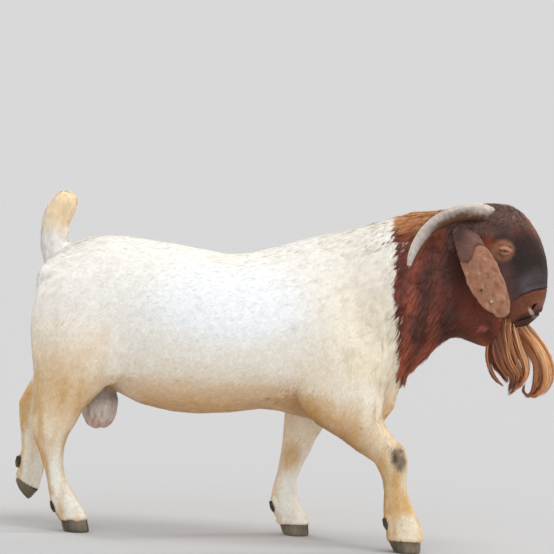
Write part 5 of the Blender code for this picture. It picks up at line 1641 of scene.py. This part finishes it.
def lock_strands(wisps, rows, rng):
    """One lock's strands, ring by ring: they run in wisps that sway together, and some run loose."""
    path = curve_rows(rows, 8)
    spans = np.concatenate([[0], np.cumsum(np.linalg.norm(np.diff(path[:, :2], axis=0), axis=1))])
    spans /= spans[-1]
    slopes = np.gradient(path[:, :2], axis=0)
    wisp = np.repeat(np.arange(wisps), STRANDS_IN_WISP)
    count = len(wisp)
    loose = rng.uniform(0, 1, count) < LOOSE_SHARE

    def shared(of_wisp, of_strand):
        return np.where(loose, of_strand, of_wisp[wisp])

    turns, ways = np.arange(wisps) * 2.4, rng.uniform(0, 2 * math.pi, count)
    angle = shared(turns, ways)
    ring = np.sqrt(shared((np.arange(wisps) + 0.5) / wisps, rng.uniform(0, 1, count)))
    sway = shared(rng.uniform(0.6, 2.6, wisps), rng.uniform(0.3, 4.0, count)) * MM
    phase = shared(rng.uniform(0, 2 * math.pi, wisps), ways)
    full = wisps > 3
    finish = 1 - shared(rng.uniform(0, 0.16, wisps), rng.uniform(0, 0.45, count)) * full
    finish -= rng.uniform(0, 0.06, count)
    start = rng.uniform(0, 0.10, count)
    twist = shared(rng.normal(0.2, 0.4, wisps), rng.normal(0, 0.5, count))
    own_angle = rng.uniform(0, 2 * math.pi, count)
    own_ring = np.sqrt(rng.uniform(0, 1, count)) * (6.5 if full else 3.0) * MM
    depth = rng.normal(0.0, 0.32, wisps)[wisp] + rng.normal(0, 0.12, count)
    levels, tones = zip(*[(level, linear(tone)) for level, tone in BEARD_TONES])
    line, up, colours = [], [], []
    for share in np.linspace(0, 1, BEARD_STEPS + 1):
        u = start + (finish - start) * share
        x, z, half, thick = (np.interp(u, spans, path[:, i]) for i in range(4))
        dx, dz = (np.interp(u, spans, slope) for slope in slopes.T)
        size = np.hypot(dx, dz)
        side_x, side_z = -dz / size, dx / size
        turn = angle + twist * u
        close = own_ring * (1 - 0.5 * share)
        out = half * ring * np.cos(turn) + close * np.cos(own_angle) + sway * np.sin(u * 12 + phase) * u
        aside = thick * ring * np.sin(turn) + close * np.sin(own_angle) + sway * np.cos(u * 10 + phase) * u
        line.append(np.column_stack([x + side_x * out, aside, z + side_z * out]) + ORIGIN)
        outward = np.column_stack([side_x * np.cos(turn), np.sin(turn), side_z * np.cos(turn)])
        up.append(unit(outward + 1e-3))
        # Painted light and shade: the front edge is painted bright where light comes through, and the inside
        # is painted dark as shade. The strands also darken towards their ends.
        ahead = line[-1][:, 0] - ORIGIN[0]
        bright = depth + 0.05 + 0.40 * np.clip(out / half, -1, 1) + 0.55 * smoothstep(ahead, 0.615, 0.680)
        bright -= 0.45 * smoothstep(-ahead, -0.585, -0.545) + 0.55 * smoothstep(u, 0.50, 1.0)
        colours.append(np.stack([np.interp(bright, levels, tone) for tone in np.transpose(tones)], axis=1))
    return np.array(line), np.array(up), rng.uniform(1.3, 2.4, count) * MM, np.array(colours)


def make_beard():
    """Locks of long, glossy strands under the chin, some of which curl round at their ends."""
    rng = np.random.default_rng(77)
    lines, ups, widths, colours = zip(*[lock_strands(wisps, rows, rng) for wisps, rows in BEARD])
    line, up, colour = (np.concatenate(v, axis=1) for v in (lines, ups, colours))
    width = np.concatenate(widths)
    chin = [skin_tree.find_nearest(p)[2] for p in line[0].tolist()]
    beard = tuft_mesh("beard_locks", line, up, width, 0.7, skin_flat[chin].mean(1), colour,
                      rng.uniform(0, 1, len(width)), 0.5)
    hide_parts("beard")
    return give(beard, beard_hair)


make_beard()


# ---------------------------------------------------------------- stage, light and camera

def paper_finish():
    """Matt studio paper, with a slight tooth."""
    made, tree, shader = new_finish("studio_paper", 0.95, 0.1)
    place = add(tree, "ShaderNodeTexCoord").outputs["Object"]
    tooth = add(tree, *NOISE, {"Vector": place, "Scale": 1 / PAPER_TOOTH})
    grey = add(tree, "ShaderNodeValToRGB", {}, {"Fac": tooth})
    set_ends(grey, "#b4b6ba", "#b8babe")
    tree.links.new(grey.outputs[0], shader.inputs["Base Color"])
    return made


FLOOR_REACH = 60.0
corners = np.array([(-1, -1, 0), (1, -1, 0), (1, 1, 0), (-1, 1, 0)], float) * FLOOR_REACH
floor = add_object("floor", mesh_of("floor", corners, np.array([[0, 1, 2, 3]])))
floor.data.materials.append(paper_finish())

world = bpy.data.worlds.new("studio")
bpy.context.scene.world = world
world.use_nodes = True
sky = world.node_tree.nodes["Background"]
sky.inputs["Color"].default_value = (*linear("#d9d9d9"), 1)
sky.inputs["Strength"].default_value = 1.0


def add_sun(name, way, strength, softness, colour):
    """A sun that shines this way. softness is its angle in degrees."""
    light = bpy.data.lights.new(name, "SUN")
    light.energy, light.angle, light.color = strength, math.radians(softness), linear(colour)
    lamp = add_object(name, light)
    lamp.rotation_euler = Vector(way).to_track_quat("-Z", "Y").to_euler()


add_sun("overhead", (-0.30, 0.10, -0.95), 1.2, 30, "#fffaf2")
add_sun("fill", (-0.10, 0.90, -0.42), 0.75, 60, "#f7fbff")
add_sun("rim", (-0.75, -0.50, -0.42), 1.0, 12, "#ffeeda")
add_sun("back_rim", (0.72, -0.45, -0.52), 0.8, 25, "#fff6e6")
add_sun("front_fill", (-0.85, 0.45, -0.25), 0.45, 60, "#ffffff")

# A long lens, a little ahead of square to the goat's right side and slightly above. Angles are in degrees.
AZIMUTH, ELEVATION, ROLL, DISTANCE, LENS, SENSOR = 6.0, 2.0, 2.85, 7.0, 181.9495, 36.0
azimuth, elevation, roll = map(math.radians, (AZIMUTH, ELEVATION, ROLL))
flat_back = Vector((math.sin(azimuth), -math.cos(azimuth), 0))
back = flat_back * math.cos(elevation) + Vector((0, 0, math.sin(elevation)))
level = (-back).cross(Vector((0, 0, 1))).normalized()
upright = level.cross(-back)
rolled = level * math.cos(roll) + upright * math.sin(roll)
camera = add_object("camera", bpy.data.cameras.new("camera"))
camera.matrix_world = Matrix((rolled, back.cross(rolled), back)).transposed().to_4x4()
camera.location = Vector(at(0, 0, 0.656)) + back * DISTANCE
camera.data.sensor_width, camera.data.lens = SENSOR, LENS
bpy.context.scene.camera = camera
bpy.context.scene.view_settings.view_transform = "Standard"
